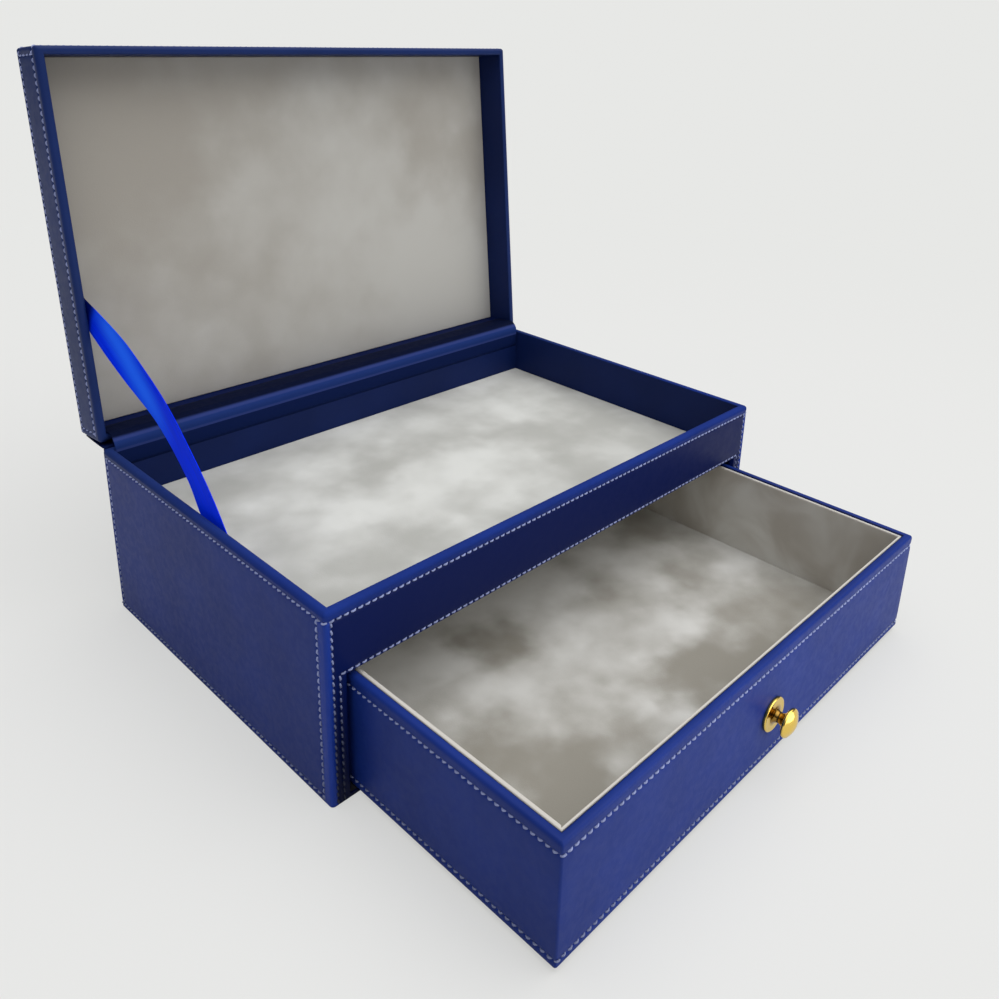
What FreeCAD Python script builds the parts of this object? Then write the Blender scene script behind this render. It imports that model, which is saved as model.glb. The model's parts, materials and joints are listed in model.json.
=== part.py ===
import FreeCAD, Part
import math
import os
import re

import Sketcher

# A covered gift box: a case with an open tray on top and a drawer bay below, a lid on a leather
# hinge at the back, a satin stay ribbon at the left and a drawer with a small metal knob.
#
# Millimetres. +Z is up, the front faces -Y and the origin is the middle of the case's underside.
# The model stands in its rest pose: lid open against its hinge leather, drawer part-way out.
# Every length below is a cell of the sheet "Sizes"; the sub-parts are bound to those cells.

SIZES = [
    # case
    ("case_width", 330.0, "outer width of case and lid"),
    ("case_depth", 212.0, "outer depth of case and lid"),
    ("case_height", 102.0, "floor to the case's rim"),
    ("corner_radius", 3.0, "upright corners of case and lid, over the leather"),
    ("rim_radius", 1.5, "rolled outer edge of every rim"),
    ("leather", 0.8, "outer leather"),
    ("wall_board", 3.0, "wall boards of case and lid"),
    ("wall_lining", 0.7, "leather lining inside tray and lid"),
    ("base_sheet", 0.5, "sheet glued under the case and under the drawer"),
    ("base_inset", 1.5, "base sheets stand back this far from the outside"),
    ("base_board", 2.0, "bottom board of the case"),
    # drawer opening and tray
    ("post_width", 10.5, "front of the case beside the drawer opening"),
    ("rail_height", 35.0, "front of the case above the drawer opening"),
    ("tray_board", 2.8, "board between tray and drawer bay"),
    ("tray_panel", 1.2, "suede-covered card on the tray's floor"),
    ("panel_gap", 0.3, "loose fit of each suede panel in its recess"),
    # lid and hinge
    ("lid_height", 26.0, "rim to top of the lid"),
    ("lid_gap", 0.3, "between the two rims when the lid is shut"),
    ("lid_top_board", 2.2, "top board of the lid"),
    ("lid_panel", 0.8, "suede-covered card inside the lid"),
    ("lid_open_angle", 95.3, "opening of the lid, in degrees"),
    ("hinge_offset", 1.9, "hinge axis behind the case's back"),
    ("hinge_leather", 0.7, "leather strips that make the hinge"),
    ("hinge_seat", 0.1, "glue line between hinge leather and lid"),
    ("hinge_side_gap", 2.5, "hinge leather's ends to the tray's side linings"),
    ("inner_leaf", 12.0, "inner strip on the tray's back, below the rim"),
    ("inner_lid_leaf", 13.0, "inner strip on the lid's back, past its rim"),
    ("inner_bend", 7.0, "outer radius of the inner strip's bend"),
    ("outer_leaf", 22.0, "outer strip on the case's back, below the rim"),
    ("outer_lid_margin", 4.0, "outer strip's end to the lid's top"),
    ("outer_bend", 1.4, "inner radius of the outer strip's fold"),
    # drawer
    ("drawer_side_gap", 3.0, "drawer to each side of its opening"),
    ("drawer_top_gap", 3.5, "drawer to the top of its opening"),
    ("drawer_floor_gap", 0.3, "running gap under the drawer"),
    ("drawer_back_gap", 3.2, "drawer to the case's back board when shut"),
    ("drawer_pull", 121.2, "how far the drawer is drawn out"),
    ("drawer_corner_radius", 2.5, "upright corners of the drawer"),
    ("drawer_rim_radius", 1.2, "rolled outer edge of the drawer's rim"),
    ("drawer_board", 3.0, "wall boards of the drawer"),
    ("drawer_bottom_board", 4.5, "bottom board of the drawer"),
    ("drawer_liner", 2.0, "suede-covered card inside the drawer's walls"),
    ("liner_drop", 0.7, "top of the drawer's liners below its rim"),
    ("drawer_panel", 2.0, "suede-covered card on the drawer's floor"),
    # knob
    ("knob_height", 26.2, "knob's axis above the drawer's underside"),
    ("rosette_diameter", 19.0, "plate under the knob"),
    ("rosette_thickness", 1.8, "plate under the knob"),
    ("rosette_edge", 1.0, "rounding of the plate's front edge"),
    ("knob_foot_diameter", 8.4, "knob where it meets its plate"),
    ("knob_neck_diameter", 5.4, "knob at its waist"),
    ("knob_head_diameter", 14.6, "head of the knob"),
    ("knob_neck_start", 3.3, "drawer's face to the start of the waist"),
    ("knob_neck_end", 5.8, "drawer's face to the end of the waist"),
    ("knob_head_start", 8.2, "drawer's face to the back of the head"),
    ("knob_head_side", 1.6, "straight side of the head"),
    ("knob_projection", 12.4, "drawer's face to the top of the dome"),
    ("knob_waist_radius", 1.0, "rounding at both ends of the waist"),
    ("knob_rim_radius", 0.6, "rounding at both edges of the head"),
    ("bore_spare", 0.5, "bore past the screw's end"),
    ("screw_diameter", 3.4, "knob screw"),
    ("screw_hole_diameter", 4.2, "hole for the screw through board, leather and plate"),
    ("thread_gap", 0.1, "screw to the knob's bore"),
    ("screw_reach", 5.0, "screw inside the knob, past its plate"),
    ("screw_head_diameter", 6.8, "knob screw's head"),
    ("screw_head_thickness", 1.2, "knob screw's head"),
    ("screw_slot_width", 0.9, "slot in the screw's head"),
    ("screw_slot_depth", 0.6, "slot in the screw's head"),
    ("washer_diameter", 8.6, "washer under the screw's head"),
    ("washer_thickness", 0.8, "washer under the screw's head"),
    ("washer_clearance", 0.6, "washer to its hole in the drawer's front liner"),
    # stay ribbon
    ("ribbon_width", 15.0, "satin ribbon"),
    ("ribbon_thickness", 0.4, "satin ribbon"),
    ("ribbon_wall_gap", 0.3, "ribbon's glued ends to the linings"),
    ("ribbon_case_back", 122.0, "ribbon's lower end to the case's back"),
    ("ribbon_case_drop", 7.6, "ribbon's lower end below the case's rim"),
    ("ribbon_lid_along", 77.5, "ribbon's upper end to the hinge axis, along the lid"),
    ("ribbon_lid_depth", 6.0, "ribbon's upper end above the lid's rim plane"),
    ("ribbon_case_tab", 12.0, "glued length in the tray"),
    ("ribbon_lid_tab", 9.0, "glued length in the lid"),
    ("ribbon_bow", 6.7, "slack ribbon's bow away from the walls"),
    ("ribbon_bow_lean", 0.9, "how much more the bow swells towards the lower end"),
    ("ribbon_twist", 15.5, "slack ribbon's twist at mid-length, in degrees"),
]

# Lengths that follow from the cells, spelled in their names.
DERIVED = {
    "half_width": "case_width / 2",
    "half_depth": "case_depth / 2",
    "skin_x": "half_width - leather",
    "skin_y": "half_depth - leather",
    "board_x": "skin_x - wall_board",
    "board_y": "skin_y - wall_board",
    "room_x": "board_x - wall_lining",
    "room_y": "board_y - wall_lining",
    "board_corner": "corner_radius - leather",
    # levels of the case
    "bay_floor": "base_sheet + base_board",
    "bay_ceiling": "case_height - rail_height",
    "tray_bottom": "bay_ceiling + tray_board",
    "board_top": "case_height - leather",
    "opening_x": "half_width - post_width",
    # the lid's own frame: origin on the hinge axis, drawn shut
    "lid_back": "-hinge_offset",
    "lid_front": "-hinge_offset - case_depth",
    "lid_rim": "lid_gap / 2",
    "lid_top": "lid_rim + lid_height",
    "lid_board_low": "lid_rim + leather",
    "lid_board_high": "lid_top - leather - lid_top_board",
    "wall": "leather + wall_board + wall_lining",
    "hinge_y": "half_depth + hinge_offset",
    "hinge_z": "case_height + lid_gap / 2",
    "hinge_x": "room_x - hinge_side_gap",
    "tilt": "(lid_open_angle - 90) * 1deg",
    # the drawer's own frame: origin at the foot of its front, middle
    "drawer_x": "opening_x - drawer_side_gap",
    "drawer_depth": "half_depth + board_y - drawer_back_gap",
    "drawer_height": "bay_ceiling - drawer_top_gap - bay_floor - drawer_floor_gap",
    "drawer_skin": "drawer_x - leather",
    "drawer_wall": "drawer_skin - drawer_board",
    "drawer_room": "drawer_wall - drawer_liner",
    "drawer_corner": "drawer_corner_radius - leather",
    "drawer_board_low": "base_sheet + drawer_bottom_board",
    "drawer_board_high": "drawer_height - leather",
    "front_inside": "leather + drawer_board",
    "drawer_y": "-half_depth - drawer_pull",
    "drawer_z": "bay_floor + drawer_floor_gap",
}

FUNCTIONS = ("cos", "sin", "tan", "deg")
CASE, LID, DRAWER, KNOB = "case", "lid", "drawer", "knob"
X_AXIS = FreeCAD.Vector(1, 0, 0)
TOUCH = 1e-4


def formula(text):
    """Spell a formula for setExpression: derived names are opened up, cells get the sheet's name."""
    def spell(match):
        word = match.group(0)
        if word in FUNCTIONS:
            return word
        if word in DERIVED:
            return "(" + formula(DERIVED[word]) + ")"
        return "Sizes." + word
    return re.sub(r"[a-z][a-z_]*", spell, text)


def bind(thing, path, text):
    thing.setExpression(path, formula(text))


def make_sheet(doc):
    sheet = doc.addObject("Spreadsheet::Sheet", "Sizes")
    for row, (alias, value, meaning) in enumerate(SIZES, start=1):
        sheet.set(f"A{row}", alias)
        sheet.set(f"B{row}", str(value))
        sheet.setAlias(f"B{row}", alias)
        sheet.set(f"C{row}", meaning)
    doc.recompute()
    return sheet


# ---------------------------------------------------------------- bodies, sketches and features

def new_body(doc, label, frame=CASE):
    """An empty body that stands in the case's, the lid's, the drawer's or the knob's frame."""
    body = doc.addObject("PartDesign::Body", label)
    body.Label = label
    if frame == LID:
        body.Placement = FreeCAD.Placement(FreeCAD.Vector(), FreeCAD.Rotation(-X_AXIS, 90))
        bind(body, "Placement.Rotation.Angle", "lid_open_angle * 1deg")
        bind(body, "Placement.Base.y", "hinge_y")
        bind(body, "Placement.Base.z", "hinge_z")
    if frame in (DRAWER, KNOB):
        bind(body, "Placement.Base.y", "drawer_y")
        bind(body, "Placement.Base.z", "drawer_z" if frame == DRAWER else "drawer_z + knob_height")
    return body


def new_sketch(body, plane, offset=None):
    """A sketch on one of the body's own origin planes, moved along the plane's normal by offset."""
    sketch = body.newObject("Sketcher::SketchObject", body.Label + "_sketch")
    support = next(item for item in body.Origin.OriginFeatures if item.Role == plane)
    sketch.AttachmentSupport = [(support, "")]
    sketch.MapMode = "FlatFace"
    if offset is not None:
        bind(sketch, "AttachmentOffset.Base.z", offset)
    return sketch


def locate(sketch, geometry, point, across, up):
    """Fix a sketch point by its two distances from the sketch's origin."""
    for kind, text in (("DistanceX", across), ("DistanceY", up)):
        index = sketch.addConstraint(Sketcher.Constraint(kind, -1, 1, geometry, point, 1.0))
        bind(sketch, f"Constraints[{index}]", text)


def draw_outline(sketch, corners, dome=False):
    """A closed outline of straight lines through the given corners (pairs of formulas).

    With dome, the side from the last corner, on the vertical axis, to the first is an arc.
    """
    count = len(corners)
    lines = count - 1 if dome else count
    first = sketch.GeometryCount
    for number in range(lines):
        ends = guess_point(number, count), guess_point(number + 1, count)
        sketch.addGeometry(Part.LineSegment(*ends), False)
    for number in range(lines):
        locate(sketch, first + number, 1, *corners[number])
    for number in range(count - 2 if dome else count):
        following = first + (number + 1) % count
        sketch.addConstraint(Sketcher.Constraint("Coincident", first + number, 2, following, 1))
    if dome:
        locate(sketch, first + lines - 1, 2, *corners[-1])
        close_with_dome(sketch, first, first + lines - 1)


def guess_point(number, count):
    """Where corner number of an outline starts, on a circle, before its distances pull it away."""
    turn = 2 * math.pi * number / count
    return FreeCAD.Vector(10 * math.cos(turn), 10 * math.sin(turn), 0)


def close_with_dome(sketch, first, last):
    """Close a chain of lines by an arc that is centred on, and square to, the vertical axis."""
    sketch.Document.recompute()
    rim = sketch.Geometry[first].StartPoint
    top = sketch.Geometry[last].EndPoint
    radius = (rim - top).Length ** 2 / (2 * (rim.y - top.y))
    centre = top + FreeCAD.Vector(0, radius, 0)
    circle = Part.Circle(centre, FreeCAD.Vector(0, 0, 1), radius)
    rim_angle = math.atan2(rim.y - centre.y, rim.x)
    arc = sketch.addGeometry(Part.ArcOfCircle(circle, -math.pi / 2, rim_angle), False)
    sketch.addConstraint(Sketcher.Constraint("Coincident", last, 2, arc, 1))
    sketch.addConstraint(Sketcher.Constraint("Coincident", arc, 2, first, 1))
    sketch.addConstraint(Sketcher.Constraint("PointOnObject", arc, 3, -2))


def draw_rectangle(sketch, left, right, low, high):
    draw_outline(sketch, [(left, low), (right, low), (right, high), (left, high)])


def draw_rounded_rectangle(sketch, left, right, low, high, radius):
    """A rectangle whose four corners are arcs, tangent to its sides."""
    span, round_off = 20.0, 2.0
    reach = span - round_off
    ends = [((-reach, -span), (reach, -span)), ((span, -reach), (span, reach)),
            ((reach, span), (-reach, span)), ((-span, reach), (-span, -reach))]
    middles = [(reach, -reach), (reach, reach), (-reach, reach), (-reach, -reach)]
    for side in range(4):
        start, end = (FreeCAD.Vector(x, y, 0) for x, y in ends[side])
        sketch.addGeometry(Part.LineSegment(start, end), False)
        circle = Part.Circle(FreeCAD.Vector(*middles[side], 0), FreeCAD.Vector(0, 0, 1), round_off)
        begin = (side - 1) * math.pi / 2
        sketch.addGeometry(Part.ArcOfCircle(circle, begin, begin + math.pi / 2), False)
    for number in range(8):
        sketch.addConstraint(Sketcher.Constraint("Tangent", number, 2, (number + 1) % 8, 1))
    for number, kind in ((0, "Horizontal"), (2, "Vertical"), (4, "Horizontal"), (6, "Vertical")):
        sketch.addConstraint(Sketcher.Constraint(kind, number))
    for number in (3, 5, 7):
        sketch.addConstraint(Sketcher.Constraint("Equal", 1, number))
    sizes = [("Radius", (1, round_off), radius), ("DistanceY", (-1, 1, 0, 1, -span), low),
             ("DistanceX", (-1, 1, 2, 1, span), right), ("DistanceY", (-1, 1, 4, 1, span), high),
             ("DistanceX", (-1, 1, 6, 1, -span), left)]
    for kind, places, text in sizes:
        index = sketch.addConstraint(Sketcher.Constraint(kind, *places))
        bind(sketch, f"Constraints[{index}]", text)


def draw_circle(sketch, across, up, diameter):
    circle = Part.Circle(FreeCAD.Vector(0, 0, 0), FreeCAD.Vector(0, 0, 1), 1.0)
    number = sketch.addGeometry(circle, False)
    locate(sketch, number, 3, across, up)
    index = sketch.addConstraint(Sketcher.Constraint("Diameter", number, 2.0))
    bind(sketch, f"Constraints[{index}]", diameter)


def add_extrusion(body, kind, sketch, length, both_ways=False):
    """Pad or Pocket of a sketch; both_ways centres it on the sketch's plane."""
    feature = body.newObject("PartDesign::" + kind, body.Label + "_" + kind.lower())
    feature.Profile = sketch
    if both_ways:
        feature.SideType = "Symmetric"
    bind(feature, "Length", length)
    body.Document.recompute()
    return feature


def add_cut(body, sketch, length, both_ways=False):
    """A Pocket that has to remove material."""
    before = body.Shape.Volume
    feature = add_extrusion(body, "Pocket", sketch, length, both_ways)
    if feature.Shape.Volume > before - TOUCH:
        raise RuntimeError(body.Label + ": the pocket cuts nothing")
    return feature


def add_revolution(body, sketch):
    """The sketch turned once round the body's Y axis."""
    feature = body.newObject("PartDesign::Revolution", body.Label + "_turned")
    feature.Profile = sketch
    feature.ReferenceAxis = (sketch, ["V_Axis"])
    feature.Angle = 360
    body.Document.recompute()
    return feature


def add_fillet(body, edges, radius):
    """Round the named edges of the body's last feature."""
    base = body.Tip
    if not edges:
        raise RuntimeError(body.Label + ": no edge to round")
    feature = body.newObject("PartDesign::Fillet", body.Label + "_rounding")
    feature.Base = (base, edges)
    bind(feature, "Radius", radius)
    body.Document.recompute()
    return feature


def edge_names(feature, test):
    """Names of the feature's edges that pass a test of their own box and the whole feature's box."""
    whole = feature.Shape.BoundBox
    edges = enumerate(feature.Shape.Edges, start=1)
    return [f"Edge{number}" for number, edge in edges if test(edge, edge.BoundBox, whole)]


def edges_from_corner(body, sketch, corner):
    """The edges of the body's last feature that run out of one corner of its sketch."""
    point = sketch.Placement.multVec(sketch.Geometry[corner].StartPoint)
    normal = sketch.Placement.Rotation.multVec(FreeCAD.Vector(0, 0, 1))

    def test(edge, box, whole):
        away = [(vertex.Point - point).cross(normal).Length for vertex in edge.Vertexes]
        return len(away) == 2 and max(away) < TOUCH
    return edge_names(body.Tip, test)


def near(first, second):
    return abs(first - second) < TOUCH


def upright(box):
    return box.XLength < TOUCH and box.YLength < TOUCH


def upright_at(x_sides, y_sides):
    """Test for upright edges on the given faces of the feature's box, such as ("XMin",)."""
    def test(edge, box, whole):
        on_x = any(near(box.Center.x, getattr(whole, side)) for side in x_sides)
        on_y = any(near(box.Center.y, getattr(whole, side)) for side in y_sides)
        return upright(box) and on_x and on_y
    return test


def front_edge_at(level):
    """Test for the straight edge along X at the front of the feature's box, at ZMin or ZMax."""
    def test(edge, box, whole):
        along_x = box.YLength < TOUCH and box.ZLength < TOUCH
        return along_x and near(box.YMin, whole.YMin) and near(box.ZMin, getattr(whole, level))
    return test


def rings_at(height):
    """Test for round edges about the Y axis at the given distance in front of the face."""
    def test(edge, box, whole):
        if edge.Degenerated or not isinstance(edge.Curve, Part.Circle):
            return False
        return near(edge.Curve.Center.y, -height)
    return test


def block(doc, label, frame, x_range, y_range, z_range):
    """A board, sheet, panel or lining: a rectangle padded to its thickness or height."""
    body = new_body(doc, label, frame)
    sketch = new_sketch(body, "XY_Plane", z_range[0])
    draw_rectangle(sketch, *x_range, *y_range)
    add_extrusion(body, "Pad", sketch, f"({z_range[1]}) - ({z_range[0]})")
    return body


def both_sides(inner, outer):
    """The X ranges of a left and a right piece that lie between two distances from the middle."""
    return (("left", (f"-({outer})", f"-({inner})")), ("right", (inner, outer)))


def drill(body, middle_y, diameter, length):
    """A hole along Y at the knob's height, cut both ways from the plane at middle_y."""
    sketch = new_sketch(body, "XZ_Plane", f"-({middle_y})")
    draw_circle(sketch, "0", "knob_height", diameter)
    add_cut(body, sketch, length, both_ways=True)


# ---------------------------------------------------------------- case

def make_case_base(doc):
    """The sheet that the case stands on, and the bottom board over it."""
    inset_x, inset_y = "half_width - base_inset", "half_depth - base_inset"
    block(doc, "case_base_sheet", CASE, (f"-({inset_x})", inset_x), (f"-({inset_y})", inset_y),
          ("0", "base_sheet"))
    board = block(doc, "case_bottom_board", CASE, ("-skin_x", "skin_x"), ("-skin_y", "skin_y"),
                  ("base_sheet", "bay_floor"))
    corners = edge_names(board.Tip, upright_at(("XMin", "XMax"), ("YMin", "YMax")))
    add_fillet(board, corners, "board_corner")


def make_case_walls(doc):
    """Side boards the full depth of the case, with a back board and a front rail between them."""
    for side, x_range in both_sides("board_x", "skin_x"):
        board = block(doc, f"case_{side}_board", CASE, x_range, ("-skin_y", "skin_y"),
                      ("bay_floor", "board_top"))
        outside = ("XMin",) if side == "left" else ("XMax",)
        add_fillet(board, edge_names(board.Tip, upright_at(outside, ("YMin", "YMax"))),
                   "board_corner")
    block(doc, "case_back_board", CASE, ("-board_x", "board_x"), ("board_y", "skin_y"),
          ("bay_floor", "board_top"))
    block(doc, "case_front_rail", CASE, ("-board_x", "board_x"), ("-skin_y", "-board_y"),
          ("bay_ceiling + leather", "board_top"))


def make_front_posts(doc):
    """Short uprights beside the drawer opening, under the ends of the front rail."""
    for side, x_range in both_sides("opening_x + leather", "board_x"):
        block(doc, f"case_{side}_post", CASE, x_range, ("-skin_y", "-board_y"),
              ("bay_floor", "bay_ceiling + leather"))


def make_bay_sides(doc):
    """Boards that guide the drawer and carry the tray's floor."""
    for side, x_range in both_sides("opening_x", "board_x"):
        block(doc, f"bay_{side}_board", CASE, x_range, ("-board_y", "board_y"),
              ("bay_floor", "bay_ceiling"))


def make_tray(doc):
    """The tray's floor board, its suede panel and the four linings round it."""
    block(doc, "tray_floor_board", CASE, ("-board_x", "board_x"), ("-board_y", "board_y"),
          ("bay_ceiling", "tray_bottom"))
    panel_x, panel_y = "room_x - panel_gap", "room_y - panel_gap"
    block(doc, "tray_floor_panel", CASE, (f"-({panel_x})", panel_x), (f"-({panel_y})", panel_y),
          ("tray_bottom", "tray_bottom + tray_panel"))
    for side, x_range in both_sides("room_x", "board_x"):
        block(doc, f"tray_{side}_lining", CASE, x_range, ("-board_y", "board_y"),
              ("tray_bottom", "board_top"))
    for side, y_range in (("front", ("-board_y", "-room_y")), ("back", ("room_y", "board_y"))):
        block(doc, f"tray_{side}_lining", CASE, ("-room_x", "room_x"), y_range,
              ("tray_bottom", "board_top"))


def make_case_cover(doc):
    """Leather round the four walls, rolled over the rim and into the drawer opening."""
    body = new_body(doc, "case_cover")
    outside = new_sketch(body, "XY_Plane", "base_sheet")
    draw_rounded_rectangle(outside, "-half_width", "half_width", "-half_depth", "half_depth",
                           "corner_radius")
    block_feature = add_extrusion(body, "Pad", outside, "case_height - base_sheet")
    add_fillet(body, edge_names(block_feature, front_edge_at("ZMax")), "rim_radius")
    mouth = new_sketch(body, "XY_Plane", "case_height")
    draw_rectangle(mouth, "-room_x", "room_x", "-room_y", "room_y")
    add_cut(body, mouth, "leather")
    inside = new_sketch(body, "XY_Plane", "board_top")
    draw_rounded_rectangle(inside, "-skin_x", "skin_x", "-skin_y", "skin_y", "board_corner")
    add_cut(body, inside, "case_height")
    opening = new_sketch(body, "XZ_Plane", "half_depth")
    draw_rectangle(opening, "-opening_x", "opening_x", "bay_floor", "bay_ceiling")
    add_cut(body, opening, "3 * leather", both_ways=True)
    turn_in = new_sketch(body, "XZ_Plane", "skin_y - wall_board / 2")
    wide, high = "opening_x + leather", "bay_ceiling + leather"
    draw_outline(turn_in, [("-opening_x", "bay_floor"), ("-opening_x", "bay_ceiling"),
                           ("opening_x", "bay_ceiling"), ("opening_x", "bay_floor"),
                           (wide, "bay_floor"), (wide, high), (f"-({wide})", high),
                           (f"-({wide})", "bay_floor")])
    add_extrusion(body, "Pad", turn_in, "wall_board", both_ways=True)


# ---------------------------------------------------------------- hinge leathers and ribbon

def make_inner_hinge_leather(doc):
    """Strip from the tray's back over both rims to the lid's inner back wall, at rest."""
    body = new_body(doc, "inner_hinge_leather")
    sketch = new_sketch(body, "YZ_Plane")
    # The lid's inner back wall is a line through (wall_y, wall_z), falling by the tilt.
    seat = "(hinge_offset + wall + hinge_seat)"
    wall_y = f"(hinge_y + {seat} * sin(tilt) + lid_rim * cos(tilt))"
    wall_z = f"(hinge_z + {seat} * cos(tilt) - lid_rim * sin(tilt))"
    upper = "hinge_leather / cos(tilt)"
    end_y = f"({wall_y} + inner_lid_leaf * cos(tilt))"
    end_z = f"({wall_z} - inner_lid_leaf * sin(tilt))"
    front = "(room_y - hinge_leather)"
    low = "case_height - inner_leaf"
    draw_outline(sketch, [
        (front, low), ("room_y", low), ("room_y", f"{wall_z} + ({wall_y} - room_y) * tan(tilt)"),
        (end_y, end_z), (f"{end_y} + hinge_leather * sin(tilt)", f"{end_z} + hinge_leather * cos(tilt)"),
        (front, f"{wall_z} + {upper} + ({wall_y} - {front}) * tan(tilt)")])
    add_extrusion(body, "Pad", sketch, "2 * hinge_x", both_ways=True)
    add_fillet(body, edges_from_corner(body, sketch, 2), "inner_bend - hinge_leather")
    add_fillet(body, edges_from_corner(body, sketch, 5), "inner_bend")


def make_outer_hinge_leather(doc):
    """Strip on the case's back that turns out along the lid's back wall, at rest."""
    body = new_body(doc, "outer_hinge_leather")
    sketch = new_sketch(body, "YZ_Plane")
    # The lid's back wall is a line through (wall_y, wall_z), falling by the tilt.
    seat = "(hinge_offset - hinge_seat)"
    wall_y = f"(hinge_y + {seat} * sin(tilt) + lid_rim * cos(tilt))"
    wall_z = f"(hinge_z + {seat} * cos(tilt) - lid_rim * sin(tilt))"
    leaf = "(lid_height - outer_lid_margin)"
    end_y = f"({wall_y} + {leaf} * cos(tilt))"
    end_z = f"({wall_z} - {leaf} * sin(tilt))"
    inner = "(half_depth + hinge_seat)"
    outer = f"({inner} + hinge_leather)"
    low = "case_height - outer_leaf"
    under = "hinge_leather / cos(tilt)"
    draw_outline(sketch, [
        (inner, low), (outer, low),
        (outer, f"{wall_z} - {under} + ({wall_y} - {outer}) * tan(tilt)"),
        (f"{end_y} - hinge_leather * sin(tilt)", f"{end_z} - hinge_leather * cos(tilt)"),
        (end_y, end_z), (inner, f"{wall_z} + ({wall_y} - {inner}) * tan(tilt)")])
    add_extrusion(body, "Pad", sketch, "2 * (half_width - corner_radius)", both_ways=True)
    add_fillet(body, edges_from_corner(body, sketch, 2), "outer_bend")
    add_fillet(body, edges_from_corner(body, sketch, 5), "outer_bend + hinge_leather")


def make_ribbon(doc, sheet):
    """Satin stay ribbon: glued flat to the tray's and the lid's left lining, slack between."""
    half_width, half_depth = sheet.case_width / 2, sheet.case_depth / 2
    wall = sheet.leather + sheet.wall_board + sheet.wall_lining
    wall_x = -half_width + wall + sheet.ribbon_wall_gap + sheet.ribbon_thickness / 2
    opening = math.radians(sheet.lid_open_angle)
    along, depth = sheet.ribbon_lid_along, sheet.ribbon_lid_depth + sheet.lid_gap / 2
    hinge = FreeCAD.Vector(wall_x, half_depth + sheet.hinge_offset,
                           sheet.case_height + sheet.lid_gap / 2)
    lower = FreeCAD.Vector(wall_x, half_depth - sheet.ribbon_case_back,
                           sheet.case_height - sheet.ribbon_case_drop)
    upper = hinge + FreeCAD.Vector(0, -along * math.cos(opening) + depth * math.sin(opening),
                                   along * math.sin(opening) + depth * math.cos(opening))
    run = upper - lower
    direction = FreeCAD.Vector(run).normalize()
    flat = direction.cross(X_AXIS)
    wires = [ribbon_section(sheet, lower - direction * sheet.ribbon_case_tab, direction, flat, 0)]
    steps = 12
    for step in range(steps + 1):
        share = step / steps
        swell = 16 * share ** 2 * (1 - share) ** 2
        lean = 1 - sheet.ribbon_bow_lean * (share - 0.5)
        middle = lower + run * share + X_AXIS * (sheet.ribbon_bow * swell * lean)
        twist = sheet.ribbon_twist * swell
        wires.append(ribbon_section(sheet, middle, direction, flat, twist))
    wires.append(ribbon_section(sheet, upper + direction * sheet.ribbon_lid_tab, direction, flat, 0))
    ribbon = doc.addObject("Part::Feature", "lid_ribbon")
    ribbon.Label = "lid_ribbon"
    ribbon.Shape = Part.makeLoft(wires, True, False)
    return ribbon


def ribbon_section(sheet, middle, direction, flat, twist):
    """The ribbon's cross-section: a thin rectangle across its run, turned by twist degrees."""
    turned = FreeCAD.Rotation(direction, twist)
    across = turned.multVec(flat) * (sheet.ribbon_width / 2)
    thick = turned.multVec(X_AXIS) * (sheet.ribbon_thickness / 2)
    corners = [middle + across + thick, middle - across + thick,
               middle - across - thick, middle + across - thick]
    return Part.makePolygon(corners + corners[:1])


# ---------------------------------------------------------------- lid (drawn shut, in its own frame)

def make_lid_boards(doc):
    """The lid's top board and the four rim boards under it."""
    back, front = "lid_back - leather", "lid_front + leather"
    top = block(doc, "lid_top_board", LID, ("-skin_x", "skin_x"), (front, back),
                ("lid_board_high", "lid_board_high + lid_top_board"))
    corners = edge_names(top.Tip, upright_at(("XMin", "XMax"), ("YMin", "YMax")))
    add_fillet(top, corners, "board_corner")
    levels = ("lid_board_low", "lid_board_high")
    for side, x_range in both_sides("board_x", "skin_x"):
        board = block(doc, f"lid_{side}_board", LID, x_range, (front, back), levels)
        outside = ("XMin",) if side == "left" else ("XMax",)
        add_fillet(board, edge_names(board.Tip, upright_at(outside, ("YMin", "YMax"))),
                   "board_corner")
    for side, y_range in (("front", (front, f"{front} + wall_board")),
                          ("back", (f"{back} - wall_board", back))):
        block(doc, f"lid_{side}_board", LID, ("-board_x", "board_x"), y_range, levels)


def make_lid_linings(doc):
    """Dark leather inside the lid's rim, and the suede panel between the linings."""
    levels = ("lid_board_low", "lid_board_high")
    back, front = "lid_back - wall", "lid_front + wall"
    for side, x_range in both_sides("room_x", "board_x"):
        block(doc, f"lid_{side}_lining", LID, x_range,
              (f"{front} - wall_lining", f"{back} + wall_lining"), levels)
    for side, y_range in (("front", (f"{front} - wall_lining", front)),
                          ("back", (back, f"{back} + wall_lining"))):
        block(doc, f"lid_{side}_lining", LID, ("-room_x", "room_x"), y_range, levels)
    panel_x = "room_x - panel_gap"
    block(doc, "lid_panel", LID, (f"-({panel_x})", panel_x),
          (f"{front} + panel_gap", f"{back} - panel_gap"),
          ("lid_board_high - lid_panel", "lid_board_high"))


def make_lid_cover(doc):
    """Leather over the lid's top and sides, rolled round its rim."""
    body = new_body(doc, "lid_cover", LID)
    outside = new_sketch(body, "XY_Plane", "lid_rim")
    draw_rounded_rectangle(outside, "-half_width", "half_width", "lid_front", "lid_back",
                           "corner_radius")
    lump = add_extrusion(body, "Pad", outside, "lid_height")
    edges = edge_names(lump, front_edge_at("ZMax")) + edge_names(lump, front_edge_at("ZMin"))
    add_fillet(body, edges, "rim_radius")
    inside = new_sketch(body, "XY_Plane", "lid_top - leather")
    draw_rounded_rectangle(inside, "-skin_x", "skin_x", "lid_front + leather", "lid_back - leather",
                           "board_corner")
    add_cut(body, inside, "lid_height - 2 * leather")
    mouth = new_sketch(body, "XY_Plane", "lid_board_low")
    draw_rectangle(mouth, "-room_x", "room_x", "lid_front + wall", "lid_back - wall")
    add_cut(body, mouth, "2 * leather")


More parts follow.
